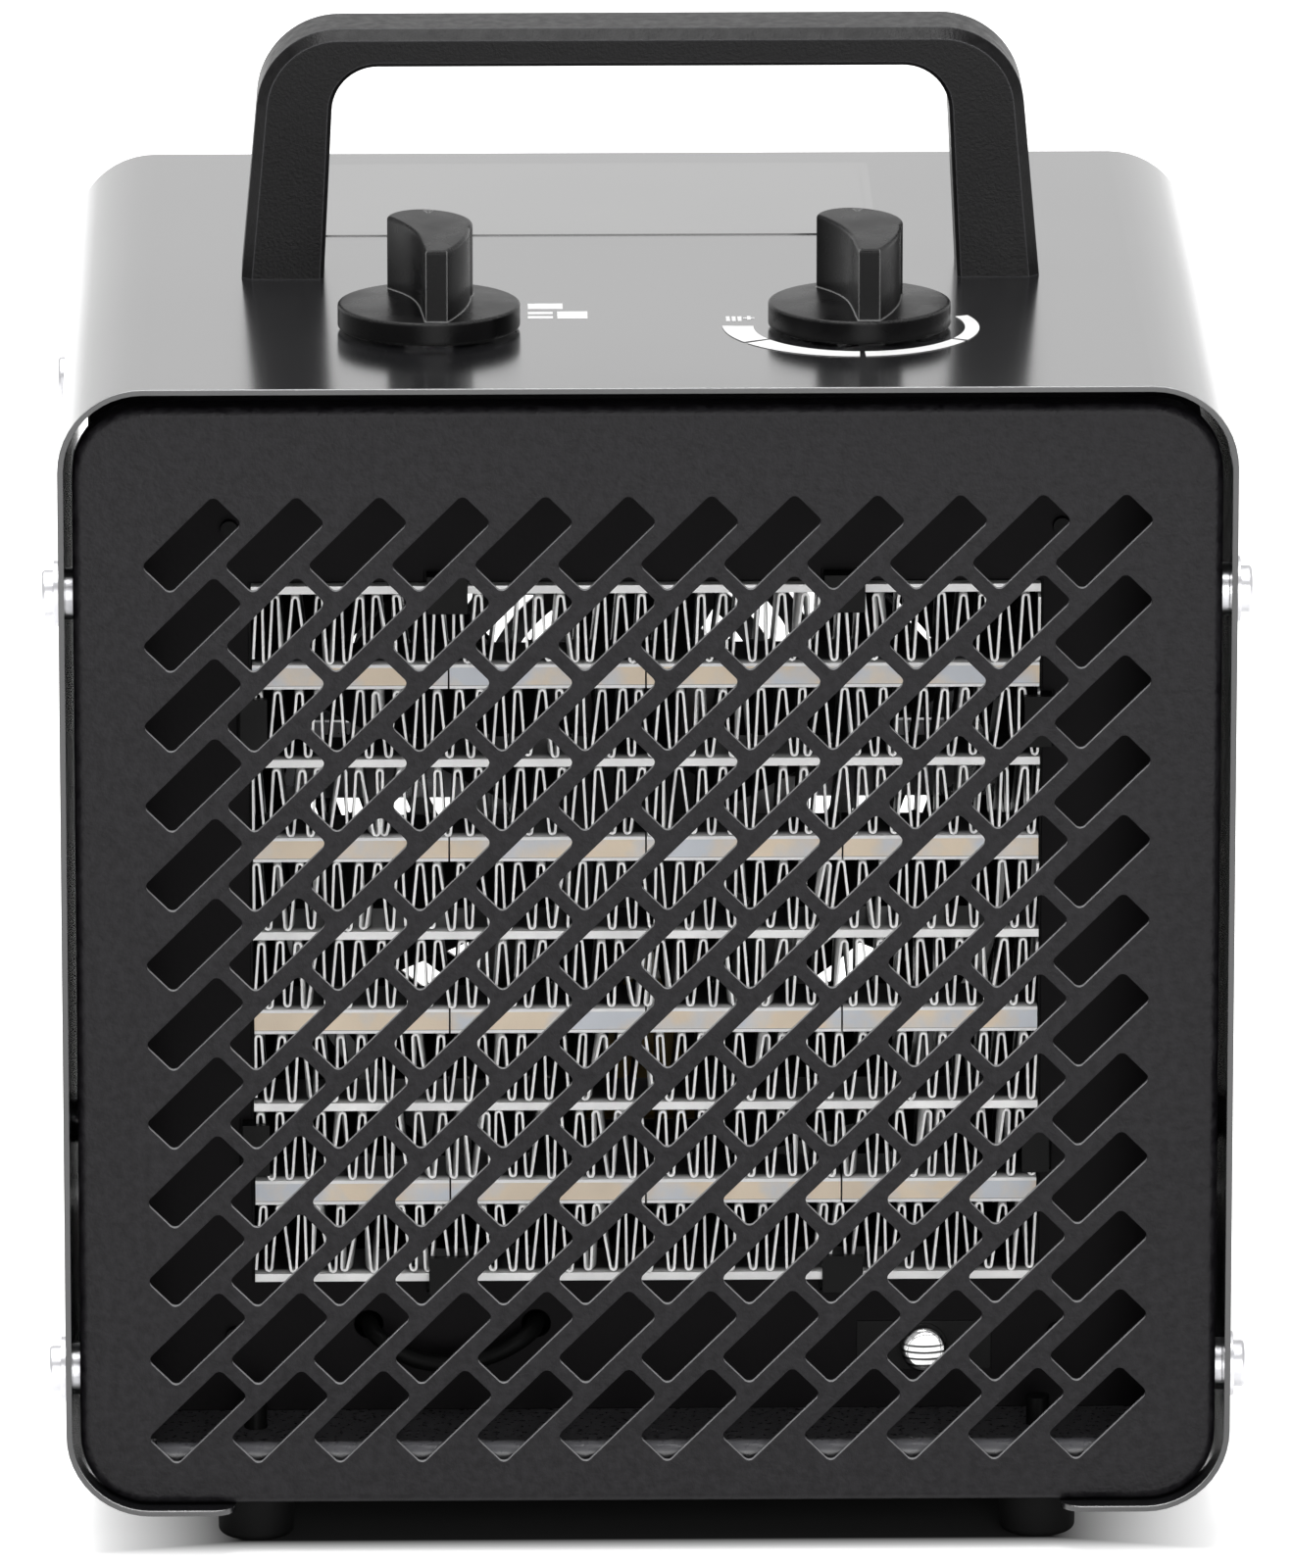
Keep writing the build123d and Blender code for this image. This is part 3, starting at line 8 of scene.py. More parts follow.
import bmesh
import bpy
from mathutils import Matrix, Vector


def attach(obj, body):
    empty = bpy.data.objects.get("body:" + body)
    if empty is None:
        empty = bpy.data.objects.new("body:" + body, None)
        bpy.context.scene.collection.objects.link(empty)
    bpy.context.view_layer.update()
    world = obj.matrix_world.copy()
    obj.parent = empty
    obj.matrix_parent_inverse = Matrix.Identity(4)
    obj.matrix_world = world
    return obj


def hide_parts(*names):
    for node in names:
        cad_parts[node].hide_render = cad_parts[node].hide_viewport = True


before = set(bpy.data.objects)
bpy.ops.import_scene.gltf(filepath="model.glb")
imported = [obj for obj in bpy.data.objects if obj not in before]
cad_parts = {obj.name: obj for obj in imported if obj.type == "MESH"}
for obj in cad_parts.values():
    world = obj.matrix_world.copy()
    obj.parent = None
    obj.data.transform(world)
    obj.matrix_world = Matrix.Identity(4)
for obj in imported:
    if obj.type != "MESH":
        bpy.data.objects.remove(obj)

LOG = logging.getLogger("heater")
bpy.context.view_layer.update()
MM = 0.001
GRAIN_DETAIL = 3.0
GRAIN_ROUGHNESS = 0.6
PATCH_DETAIL = 4.0
BEVEL_SAMPLES = 6
Colour = tuple[float, float, float]
Place = tuple[float, float, float]
Range = tuple[float, float]
Socket = bpy.types.NodeSocket


class Body(Enum):
    """Bodies of the model that the scene's own pieces ride on."""

    CASE = "case"


class Slot(Enum):
    """Material slots of the record, passed with the scene's own pieces."""

    FINS = "aluminium_fins"
    LEAD = "lead_rubber"
    PRINT = "label_film"


class Board:
    """Adds nodes to one node tree and links them."""

    def __init__(self, tree: bpy.types.NodeTree) -> None:
        """Keep the tree.

        Args:
            tree: The material's or group's node tree.
        """
        self.tree = tree

    def node(self, kind: str, **settings: object) -> bpy.types.Node:
        """Add a node.

        Args:
            kind: The node's type name.
            settings: Properties to set on the node.

        Returns:
            The new node.
        """
        made = self.tree.nodes.new(kind)
        for key, value in settings.items():
            setattr(made, key, value)
        return made

    def feed(self, node: bpy.types.Node, socket: str | int, value: object) -> None:
        """Give an input a constant or link it to another node's output.

        Args:
            node: The node that has the input.
            socket: The input's name or number.
            value: A number, a colour or an output socket.
        """
        if isinstance(value, Socket):
            self.tree.links.new(value, node.inputs[socket])
        else:
            node.inputs[socket].default_value = value

    def math(self, operation: str, first: object, second: object = 0.0) -> Socket:
        """Add a maths node.

        Args:
            operation: What it works out.
            first: Its first number or socket.
            second: Its second number or socket.

        Returns:
            The result's socket.
        """
        made = self.node("ShaderNodeMath", operation=operation)
        self.feed(made, 0, first)
        self.feed(made, 1, second)
        return made.outputs[0]

    def ramp(self, value: object, low: object, high: object, out: Range = (0.0, 1.0)) -> Socket:
        """Map a value from one range to another, clamped.

        Args:
            value: The socket to map.
            low: Where the output range starts.
            high: Where it ends.
            out: The output range.

        Returns:
            The mapped value's socket.
        """
        made = self.node("ShaderNodeMapRange")
        self.feed(made, 0, value)
        self.feed(made, 1, low)
        self.feed(made, 2, high)
        self.feed(made, 3, out[0])
        self.feed(made, 4, out[1])
        return made.outputs[0]

    def mix(self, mask: object, first: object, second: object) -> Socket:
        """Mix two colours.

        Args:
            mask: How much of the second colour shows.
            first: The first colour or socket.
            second: The second colour or socket.

        Returns:
            The mixed colour's socket.
        """
        made = self.node("ShaderNodeMix", data_type="RGBA")
        self.feed(made, 0, mask)
        self.feed(made, 6, first if isinstance(first, Socket) else (*first, 1.0))
        self.feed(made, 7, second if isinstance(second, Socket) else (*second, 1.0))
        return made.outputs[2]

    def split(self, vector: Socket) -> tuple[Socket, Socket, Socket]:
        """Split a vector.

        Args:
            vector: The vector's socket.

        Returns:
            The sockets of its X, Y and Z.
        """
        made = self.node("ShaderNodeSeparateXYZ")
        self.feed(made, 0, vector)
        return made.outputs[0], made.outputs[1], made.outputs[2]

    def place(self) -> tuple[Socket, Socket, Socket]:
        """Return X, Y and Z of the object coordinates."""
        return self.split(self.node("ShaderNodeTexCoord").outputs["Object"])

    def facing(self) -> tuple[Socket, Socket, Socket]:
        """Return X, Y and Z of the surface's true normal."""
        return self.split(self.node("ShaderNodeNewGeometry").outputs["True Normal"])

    def rolled_normal(self, radius: float) -> Socket:
        """Work out the normal that rounded edges would have.

        Args:
            radius: The radius of the edges.

        Returns:
            The normal's socket.
        """
        made = self.node("ShaderNodeBevel", samples=BEVEL_SAMPLES)
        self.feed(made, "Radius", radius)
        return made.outputs[0]

    def distance(self, first: Socket, second: Socket) -> Socket:
        """Work out the length of two parts at a right angle.

        Args:
            first: The first part.
            second: The second part.

        Returns:
            The length's socket.
        """
        squares = [self.math("POWER", part, 2.0) for part in (first, second)]
        return self.math("SQRT", self.math("ADD", *squares))

    def all_of(self, *masks: Socket) -> Socket:
        """Multiply masks.

        Args:
            masks: The masks, one of which is enough to hide.

        Returns:
            The mask that shows where all of them do.
        """
        shown = masks[0]
        for mask in masks[1:]:
            shown = self.math("MULTIPLY", shown, mask)
        return shown


def new_group(name: str, inputs: dict[str, float], output: str) -> tuple[bpy.types.NodeTree, Board]:
    """Start a shader node group with float sockets.

    Args:
        name: The group's name.
        inputs: Input names with their default values.
        output: The output's name.

    Returns:
        The group and a board on it.
    """
    group = bpy.data.node_groups.new(name, "ShaderNodeTree")
    for key, value in inputs.items():
        socket = group.interface.new_socket(name=key, in_out="INPUT", socket_type="NodeSocketFloat")
        socket.default_value = value
    group.interface.new_socket(name=output, in_out="OUTPUT", socket_type="NodeSocketFloat")
    return group, Board(group)


def grain_group() -> bpy.types.NodeTree:
    """Build the fine grain that moulded and painted surfaces share."""
    group, board = new_group("surface_grain", {"Scale": 1500.0}, "Height")
    source = board.node("NodeGroupInput")
    sink = board.node("NodeGroupOutput")
    where = board.node("ShaderNodeTexCoord").outputs["Object"]
    fine = board.node("ShaderNodeTexNoise")
    board.feed(fine, "Vector", where)
    board.feed(fine, "Scale", source.outputs["Scale"])
    board.feed(fine, "Detail", GRAIN_DETAIL)
    board.feed(fine, "Roughness", GRAIN_ROUGHNESS)
    board.feed(sink, "Height", fine.outputs[0])
    return group


def patch_group() -> bpy.types.NodeTree:
    """Build the broad uneven patches that break up an even finish."""
    group, board = new_group("uneven_patches", {"Scale": 30.0, "Low": 0.35, "High": 0.7}, "Mask")
    source = board.node("NodeGroupInput")
    sink = board.node("NodeGroupOutput")
    where = board.node("ShaderNodeTexCoord").outputs["Object"]
    broad = board.node("ShaderNodeTexNoise")
    board.feed(broad, "Vector", where)
    board.feed(broad, "Scale", source.outputs["Scale"])
    board.feed(broad, "Detail", PATCH_DETAIL)
    board.feed(sink, "Mask", board.ramp(broad.outputs[0], source.outputs["Low"], source.outputs["High"]))
    return group


GRAIN = grain_group()
PATCHES = patch_group()


@dataclass(frozen=True)
class Finish:
    """One material: its colours, gloss, grain and edge softness."""

    name: str
    colour: Colour
    worn: Colour
    roughness: Range = (0.45, 0.6)
    metallic: float = 0.0
    coat: float = 0.0
    grain_scale: float = 1500.0
    grain_depth: float = 0.02 * MM
    patch_scale: float = 30.0
    specular: float = 0.5
    edge_radius: float = 0.0

    def group(self, board: Board, tree: bpy.types.NodeTree, **values: float) -> Socket:
        """Place a shared effect.

        Args:
            board: The material's board.
            tree: The effect's node group.
            values: The effect's own values.

        Returns:
            The effect's output socket.
        """
        made = board.node("ShaderNodeGroup", node_tree=tree)
        for key, value in values.items():
            board.feed(made, key, value)
        return made.outputs[0]

    def tint(self, board: Board, base: Socket) -> Socket:
        """Return the base colour, which finishes with a pattern change."""
        return base

    def relief(self, board: Board, height: Socket) -> Socket:
        """Return the bump's height, which finishes with ribs change."""
        return height

    def build(self) -> bpy.types.Material:
        """Build the material.

        Returns:
            The new material.
        """
        material = bpy.data.materials.new(self.name)
        material.use_nodes = True
        board = Board(material.node_tree)
        shader = material.node_tree.nodes["Principled BSDF"]
        patches = self.group(board, PATCHES, Scale=self.patch_scale)
        base = board.mix(patches, self.colour, self.worn)
        board.feed(shader, "Base Color", self.tint(board, base))
        board.feed(shader, "Roughness", board.ramp(patches, 0.0, 1.0, self.roughness))
        board.feed(shader, "Metallic", self.metallic)
        board.feed(shader, "Coat Weight", self.coat)
        board.feed(shader, "Coat Roughness", self.roughness[0])
        board.feed(shader, "Specular IOR Level", self.specular)
        bump = board.node("ShaderNodeBump")
        board.feed(bump, "Strength", 1.0)
        board.feed(bump, "Distance", self.grain_depth)
        board.feed(bump, "Height", self.relief(board, self.group(board, GRAIN, Scale=self.grain_scale)))
        if self.edge_radius:
            board.feed(bump, "Normal", board.rolled_normal(self.edge_radius))
        board.feed(shader, "Normal", bump.outputs[0])
        return material


@dataclass(frozen=True)
class SlottedPaint(Finish):
    """Textured black paint with a painted highlight: lighter colour on the slots' upward walls and lower
    edges, where light from above falls.
    """

    # Painted highlight colour for the slots' upward walls and lower edges.
    painted_slot_highlight: Colour = (0.3, 0.3, 0.31)
    field_half_width: float = 92.0 * MM
    field_low: float = 14.0 * MM
    field_high: float = 192.0 * MM
    rolled_edge: float = 0.16 * MM
    wall_upward: float = 0.3
    edge_upward: Range = (0.22, 0.5)

    def slot_highlight_mask(self, board: Board) -> Socket:
        """Return the painted highlight's mask: the upward walls and lower edges of the slots."""
        across, _, up = board.place()
        _, _, upward = board.facing()
        # Painted highlight on upward-facing walls and on lower edges whose rounded normal turns up.
        wall = board.math("GREATER_THAN", upward, self.wall_upward)
        inside = board.math("LESS_THAN", board.math("ABSOLUTE", across), self.field_half_width)
        above = board.math("GREATER_THAN", up, self.field_low)
        below = board.math("LESS_THAN", up, self.field_high)
        _, _, rolled_upward = board.split(board.rolled_normal(self.rolled_edge))
        lower_edge = board.ramp(rolled_upward, *self.edge_upward)
        return board.all_of(board.math("MAXIMUM", wall, lower_edge), inside, above, below)

    def tint(self, board: Board, base: Socket) -> Socket:
        """Return black paint with the painted highlight on the slot walls and lower edges."""
        return board.mix(self.slot_highlight_mask(board), base, self.painted_slot_highlight)


@dataclass(frozen=True)
class CorePart(Finish):
    """Metal of the element, bright at its front edge, with painted shade darkening it further into the
    core.
    """

    front: float = -68.5 * MM
    shade_start_depth: float = 0.8 * MM
    shade_full_depth: float = 3.2 * MM
    # Colour of the painted shade deep inside the core.
    depth_shade: Colour = (0.035, 0.035, 0.037)

    def shade_with_depth(self, board: Board, colour: Socket) -> Socket:
        """Return the colour with painted shade, darker behind the element's front edge."""
        _, depth, _ = board.place()
        deep = board.ramp(depth, self.front + self.shade_start_depth, self.front + self.shade_full_depth)
        return board.mix(deep, colour, self.depth_shade)

    def tint(self, board: Board, base: Socket) -> Socket:
        """Return the metal with painted shade that deepens behind the front edge."""
        return self.shade_with_depth(board, base)


@dataclass(frozen=True)
class FinSheet(CorePart):
    """Thin aluminium strip with darker streaks along its folds."""

    streak_scale: Place = (900.0, 120.0, 60.0)
    streak_range: Range = (0.5, 0.8)
    streak: Colour = (0.55, 0.55, 0.56)

    def tint(self, board: Board, base: Socket) -> Socket:
        """Return aluminium with vertical streaks and painted shade behind the front edge."""
        where = board.node("ShaderNodeTexCoord").outputs["Object"]
        stretch = board.node("ShaderNodeMapping")
        board.feed(stretch, "Vector", where)
        board.feed(stretch, "Scale", self.streak_scale)
        streaks = board.node("ShaderNodeTexNoise")
        board.feed(streaks, "Vector", stretch.outputs[0])
        board.feed(streaks, "Scale", 1.0)
        streaked = board.mix(board.ramp(streaks.outputs[0], *self.streak_range), base, self.streak)
        return self.shade_with_depth(board, streaked)


@dataclass(frozen=True)
class FiredStone(CorePart):
    """Ceramic stone, tan with bluish grey patches, between two bright contact skins."""

    cool: Colour = (0.66, 0.69, 0.74)
    first_bottom: float = 56.4 * MM
    pitch: float = 30.7 * MM
    thickness: float = 4.3 * MM
    skin: float = 0.55 * MM
    below_start: float = 0.0002
    joint_width: float = 0.07 * MM
    joint: Colour = (0.1, 0.09, 0.08)
    contact: Colour = (0.92, 0.92, 0.92)
    cool_scale: float = 75.0
    cool_range: Range = (0.45, 0.6)

    def tint(self, board: Board, base: Socket) -> Socket:
        """Return tan ceramic with cool patches between two bright contact skins, under painted shade
        behind the front edge.
        """
        _, _, up = board.place()
        low, high = self.cool_range
        cool = self.group(board, PATCHES, Scale=self.cool_scale, Low=low, High=high)
        body = board.mix(cool, base, self.cool)
        turns = board.math("DIVIDE", board.math("SUBTRACT", up, self.first_bottom), self.pitch)
        share = board.math("FRACT", board.math("ADD", turns, self.below_start))
        height = board.math("MULTIPLY", share, self.pitch)
        lower = board.math("LESS_THAN", height, self.skin)
        upper = board.math("GREATER_THAN", height, self.thickness - self.skin)
        from_joint = board.math("ABSOLUTE", board.math("SUBTRACT", height, self.skin))
        lined = board.mix(board.math("LESS_THAN", from_joint, self.joint_width), body, self.joint)
        skins = board.math("MAXIMUM", lower, upper)
        return self.shade_with_depth(board, board.mix(skins, lined, self.contact))


@dataclass(frozen=True)
class TrayPaint(Finish):
    """Speckled paint of the floor tray, with a painted highlight along its front bend."""

    # Painted highlight colour on the tray's front bend.
    bend_highlight: Colour = (0.1, 0.1, 0.11)
    bend_range: Range = (0.15, 0.45)

    def tint(self, board: Board, base: Socket) -> Socket:
        """Return the paint with the painted highlight on its bend."""
        _, lengthways, upward = board.facing()
        low, high = self.bend_range
        forward = board.ramp(lengthways, -low, -high)
        over = board.ramp(upward, low, high)
        return board.mix(board.all_of(forward, over), base, self.bend_highlight)


@dataclass(frozen=True)
class FoldedPaint(Finish):
    """Glossy case paint with a painted highlight line along the top of the sheet's cut front edge."""

    # Painted highlight colour for the front edge's line.
    edge_highlight: Colour = (0.75, 0.75, 0.76)
    rolled_edge: float = 0.35 * MM
    front_range: Range = (-0.8, -0.95)
    line_range: Range = (0.2, 0.5)

    def tint(self, board: Board, base: Socket) -> Socket:
        """Return the paint with the painted highlight line on its front edge."""
        _, lengthways, _ = board.facing()
        cut = board.ramp(lengthways, *self.front_range)
        _, _, rolled_upward = board.split(board.rolled_normal(self.rolled_edge))
        line = board.ramp(rolled_upward, *self.line_range)
        return board.mix(board.all_of(cut, line), base, self.edge_highlight)


@dataclass(frozen=True)
class StreakedCap(Finish):
    """Bright metal cap with dark curved streaks across its lower part."""

    centre_x: float = 48.2 * MM
    centre_z: float = 30.0 * MM
    arc_rise: float = 16.0 * MM
    pitch: float = 1.15 * MM
    wave_range: Range = (0.2, 0.75)
    top_range: Range = (1.6 * MM, 0.9 * MM)
    streak: Colour = (0.03, 0.03, 0.03)

    def tint(self, board: Board, base: Socket) -> Socket:
        """Return bright metal with dark curved streaks."""
        across, _, up = board.place()
        sideways = board.math("SUBTRACT", across, self.centre_x)
        upwards = board.math("SUBTRACT", up, self.centre_z)
        radius = board.distance(sideways, board.math("SUBTRACT", upwards, self.arc_rise))
        wave = board.math("SINE", board.math("MULTIPLY", radius, 2.0 * math.pi / self.pitch))
        streaks = board.ramp(wave, *self.wave_range)
        below = board.ramp(upwards, *self.top_range)
        return board.mix(board.all_of(streaks, below), base, self.streak)


@dataclass(frozen=True)
class MouldedEdges(Finish):
    """Dark moulding with a painted highlight on its rounded edges and fillets."""

    edge_line: float = 0.45 * MM
    # Painted highlight colour for the edges and fillets.
    lit: Colour = (0.26, 0.26, 0.26)
    turned_range: Range = (0.985, 0.9)

    def tint(self, board: Board, base: Socket) -> Socket:
        """Return the plastic with the painted highlight on its edges."""
        alike = board.node("ShaderNodeVectorMath", operation="DOT_PRODUCT")
        board.feed(alike, 0, board.rolled_normal(self.edge_line))
        board.feed(alike, 1, board.node("ShaderNodeNewGeometry").outputs["True Normal"])
        return board.mix(board.ramp(alike.outputs["Value"], *self.turned_range), base, self.lit)


@dataclass(frozen=True)
class WrappedTape(Finish):
    """Coil tape in overlapping turns."""

    turn: float = 6.0 * MM
    lean: float = 0.25

    def relief(self, board: Board, height: Socket) -> Socket:
        """Return the height of the tape's overlapping turns."""
        across, _, up = board.place()
        slant = board.math("ADD", across, board.math("MULTIPLY", up, self.lean))
        return board.math("FRACT", board.math("DIVIDE", slant, self.turn))


@dataclass(frozen=True)
class StackedSheets(Finish):
    """Motor laminations seen as fine lines on the stack's sides."""

    sheet: float = 0.8 * MM
    gap_share: float = 0.22
    gap: Colour = (0.06, 0.06, 0.06)

    def tint(self, board: Board, base: Socket) -> Socket:
        """Return steel with the dark lines between its sheets."""
        _, depth, _ = board.place()
        line = board.math("FRACT", board.math("DIVIDE", depth, self.sheet))
        return board.mix(board.math("LESS_THAN", line, self.gap_share), base, self.gap)


@dataclass(frozen=True)
class BareLabel(Finish):
    """Blank label film with a fine printed border."""

    centre_x: float = -8.0 * MM
    centre_y: float = 47.5 * MM
    half_width: float = 50.0 * MM
    half_depth: float = 27.7 * MM
    inset: float = 1.6 * MM
    line: float = 0.35 * MM
    ink: Colour = (0.004, 0.004, 0.004)

    def edge_distance(self, board: Board) -> Socket:
        """Return how far a point lies inside the label's nearest edge."""
        across, depth, _ = board.place()
        sideways = board.math("ABSOLUTE", board.math("SUBTRACT", across, self.centre_x))
        lengthways = board.math("ABSOLUTE", board.math("SUBTRACT", depth, self.centre_y))
        from_side = board.math("SUBTRACT", self.half_width, sideways)
        from_end = board.math("SUBTRACT", self.half_depth, lengthways)
        return board.math("MINIMUM", from_side, from_end)

    def tint(self, board: Board, base: Socket) -> Socket:
        """Return the film with its border line."""
        away = board.math("ABSOLUTE", board.math("SUBTRACT", self.edge_distance(board), self.inset))
        return board.mix(board.math("LESS_THAN", away, self.line / 2), base, self.ink)


CASE_PAINT = FoldedPaint(
    "black_case_paint", (0.008, 0.008, 0.009), (0.012, 0.012, 0.013), (0.17, 0.22), coat=1.0,
    grain_scale=700.0, grain_depth=0.006 * MM, patch_scale=14.0, edge_radius=0.45 * MM,
)
GRILLE_PAINT = SlottedPaint(
    "textured_grille_paint", (0.0025, 0.002, 0.003), (0.0125, 0.0118, 0.0135), (0.36, 0.5), specular=0.17,
    grain_scale=1500.0, grain_depth=0.14 * MM, patch_scale=650.0, edge_radius=0.22 * MM,
)
INNER_PAINT = Finish(
    "satin_inner_paint", (0.0022, 0.0018, 0.0022), (0.0042, 0.0036, 0.0042), (0.4, 0.5), specular=0.07,
    grain_scale=1200.0, grain_depth=0.03 * MM, edge_radius=0.3 * MM,
)
TRAY_PAINT = TrayPaint(
    "speckled_tray_paint", (0.012, 0.0115, 0.013), (0.05, 0.049, 0.052), (0.26, 0.36), specular=0.5,
    grain_scale=1200.0, grain_depth=0.04 * MM, patch_scale=900.0, edge_radius=0.3 * MM,
)
BLACK_ZINC = Finish(
    "black_zinc_screw", (0.002, 0.002, 0.002), (0.004, 0.004, 0.004), (0.4, 0.5), specular=0.08,
    grain_scale=1300.0, grain_depth=0.01 * MM,
)
FIN_SHEET = FinSheet(
    "folded_fin_aluminium", (0.97, 0.97, 0.96), (0.88, 0.88, 0.87), (0.25, 0.4), metallic=0.1,
    grain_scale=900.0, grain_depth=0.01 * MM, patch_scale=120.0,
)
PLATE_METAL = CorePart(
    "contact_plate_aluminium", (0.93, 0.93, 0.92), (0.78, 0.78, 0.78), (0.28, 0.45), metallic=0.15,
    grain_scale=1100.0, patch_scale=90.0, edge_radius=0.15 * MM,
)
STONE = FiredStone(
    "fired_ceramic_stone", (0.88, 0.74, 0.57), (0.78, 0.66, 0.52), (0.5, 0.65),
    grain_scale=1600.0, grain_depth=0.03 * MM, patch_scale=60.0, edge_radius=0.15 * MM,
)
HOLDER_PLASTIC = Finish(
    "black_holder_moulding", (0.003, 0.003, 0.003), (0.005, 0.005, 0.005), (0.38, 0.5), specular=0.12,
    grain_scale=1400.0, edge_radius=0.25 * MM,
)
ZINC = Finish(
    "bright_zinc", (0.68, 0.68, 0.7), (0.52, 0.52, 0.54), (0.24, 0.4), metallic=1.0,
    grain_scale=1300.0, grain_depth=0.01 * MM, patch_scale=160.0, edge_radius=0.2 * MM,
)
CUTOUT_CAP = StreakedCap(
    "rolled_cutout_cap", (0.82, 0.82, 0.82), (0.7, 0.7, 0.7), (0.15, 0.25), metallic=1.0,
    grain_scale=1500.0, grain_depth=0.005 * MM, patch_scale=200.0,
)
LEAD_SLEEVE = Finish(
    "dark_lead_sleeve", (0.002, 0.002, 0.002), (0.0035, 0.0035, 0.0035), (0.45, 0.55), specular=0.06,
    grain_scale=900.0, grain_depth=0.01 * MM,
)
FAN_PLASTIC = Finish(
    "black_fan_moulding", (0.02, 0.02, 0.02), (0.03, 0.03, 0.03), (0.35, 0.5),
    grain_scale=1200.0, edge_radius=0.25 * MM,
)
LAMINATIONS = StackedSheets(
    "stacked_motor_steel", (0.3, 0.3, 0.31), (0.22, 0.2, 0.19), (0.35, 0.55), metallic=1.0,
    grain_scale=1500.0, patch_scale=110.0,
)
COIL_TAPE = WrappedTape(
    "yellow_coil_tape", (0.3, 0.19, 0.03), (0.24, 0.15, 0.025), (0.3, 0.42), grain_depth=0.25 * MM,
)
CAST_METAL = Finish(
    "die_cast_bridge", (0.5, 0.5, 0.5), (0.4, 0.4, 0.41), (0.4, 0.55), metallic=1.0,
    grain_scale=800.0, grain_depth=0.04 * MM, edge_radius=0.25 * MM,
)
BRONZE = Finish(
    "sintered_bronze", (0.5, 0.33, 0.16), (0.4, 0.26, 0.13), (0.35, 0.5), metallic=1.0,
    grain_scale=2000.0, grain_depth=0.03 * MM,
)
# The knob and handle finishes carry a painted highlight on their edges.
KNOB_PLASTIC = MouldedEdges(
    "fine_textured_knob", (0.0012, 0.0011, 0.0013), (0.0035, 0.0034, 0.0036), (0.24, 0.34), specular=0.11,
    grain_scale=2400.0, grain_depth=0.02 * MM, patch_scale=120.0, edge_radius=0.6 * MM,
)
HANDLE_PLASTIC = MouldedEdges(
    "fine_textured_handle", (0.002, 0.0018, 0.0021), (0.0065, 0.0062, 0.0067), (0.3, 0.42), specular=0.13,
    grain_scale=1800.0, grain_depth=0.06 * MM, patch_scale=500.0, edge_radius=0.35 * MM,
    edge_line=0.5 * MM, lit=(0.1, 0.1, 0.105),
)
LABEL_FILM = BareLabel(
    "bare_label_film", (0.03, 0.03, 0.03), (0.045, 0.044, 0.043), (0.1, 0.16), coat=1.0,
    grain_scale=1500.0, grain_depth=0.004 * MM,
)
FOOT_RUBBER = Finish(
    "black_foot_rubber", (0.003, 0.003, 0.003), (0.005, 0.005, 0.005), (0.6, 0.75), specular=0.08,
    grain_scale=900.0, grain_depth=0.05 * MM, edge_radius=0.3 * MM,
)
WHITE_INK = Finish(
    "white_dial_ink", (0.8, 0.8, 0.8), (0.7, 0.7, 0.7), (0.4, 0.5), specular=0.2,
    grain_scale=2500.0, grain_depth=0.008 * MM, patch_scale=150.0,
)

NODE_FINISHES: dict[str, Finish] = {
    "outer_cover": CASE_PAINT,
    "rear_panel": CASE_PAINT,
    "front_grille": GRILLE_PAINT,
    "base_tray": TRAY_PAINT,
    "element_screws": BLACK_ZINC,
    "foot_screws": BLACK_ZINC,
    "handle_screws": ZINC,
    "element_baffle": INNER_PAINT,
    "fan_bulkhead": INNER_PAINT,
    "contact_plate": PLATE_METAL,
    "ceramic_bar": STONE,
    "element_rail": HOLDER_PLASTIC,
    "element_holder": HOLDER_PLASTIC,
    "cutout_carrier": HOLDER_PLASTIC,
    "switch_body": HOLDER_PLASTIC,
    "thermostat_body": HOLDER_PLASTIC,
    "terminal_block": HOLDER_PLASTIC,
    "cable_gland": HOLDER_PLASTIC,
    "gland_nut": HOLDER_PLASTIC,
    "thermal_cutout": CUTOUT_CAP,
    "fan_impeller": FAN_PLASTIC,
    "stator_stack": LAMINATIONS,
    "motor_rotor": LAMINATIONS,
    "motor_coil": COIL_TAPE,
    "bearing_bridge": CAST_METAL,
    "bearing_bushes": BRONZE,
    "switch_knob": KNOB_PLASTIC,
    "thermostat_knob": KNOB_PLASTIC,
    "handle": HANDLE_PLASTIC,
    "label_plate": LABEL_FILM,
    "foot": FOOT_RUBBER,
}


class Workshop:
    """Keeps built materials and finishes pieces in the shared way."""

    def __init__(self) -> None:
        """Start with no materials built."""
        self.materials: dict[str, bpy.types.Material] = {}

    def material(self, finish: Finish) -> bpy.types.Material:
        """Return the finish's material, built once.

        Args:
            finish: The finish to build.

        Returns:
            Its material.
        """
        if finish.name not in self.materials:
            self.materials[finish.name] = finish.build()
        return self.materials[finish.name]

    def dress(self, piece: bpy.types.Object, finish: Finish) -> None:
        """Give a piece one material.

        Args:
            piece: The piece to dress.
            finish: Its finish.
        """
        piece.data.materials.clear()
        piece.data.materials.append(self.material(finish))

    def settle(
        self, piece: bpy.types.Object, name: str, finish: Finish, slot: Slot, body: Body = Body.CASE
    ) -> None:
        """Name, dress and seat a new piece.

        Args:
            piece: The finished piece.
            name: Its name.
            finish: Its finish.
            slot: The record's material slot meant for it; not used.
            body: The body it rides on.
        """
        piece.name = name
        self.dress(piece, finish)
        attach(piece, body.value)
        LOG.info("piece %s on %s", name, body.value)


def deselect_all() -> None:
    """Leave edit mode and deselect every object."""
    if bpy.context.object and bpy.context.object.mode != "OBJECT":
        bpy.ops.object.mode_set(mode="OBJECT")
    bpy.ops.object.select_all(action="DESELECT")


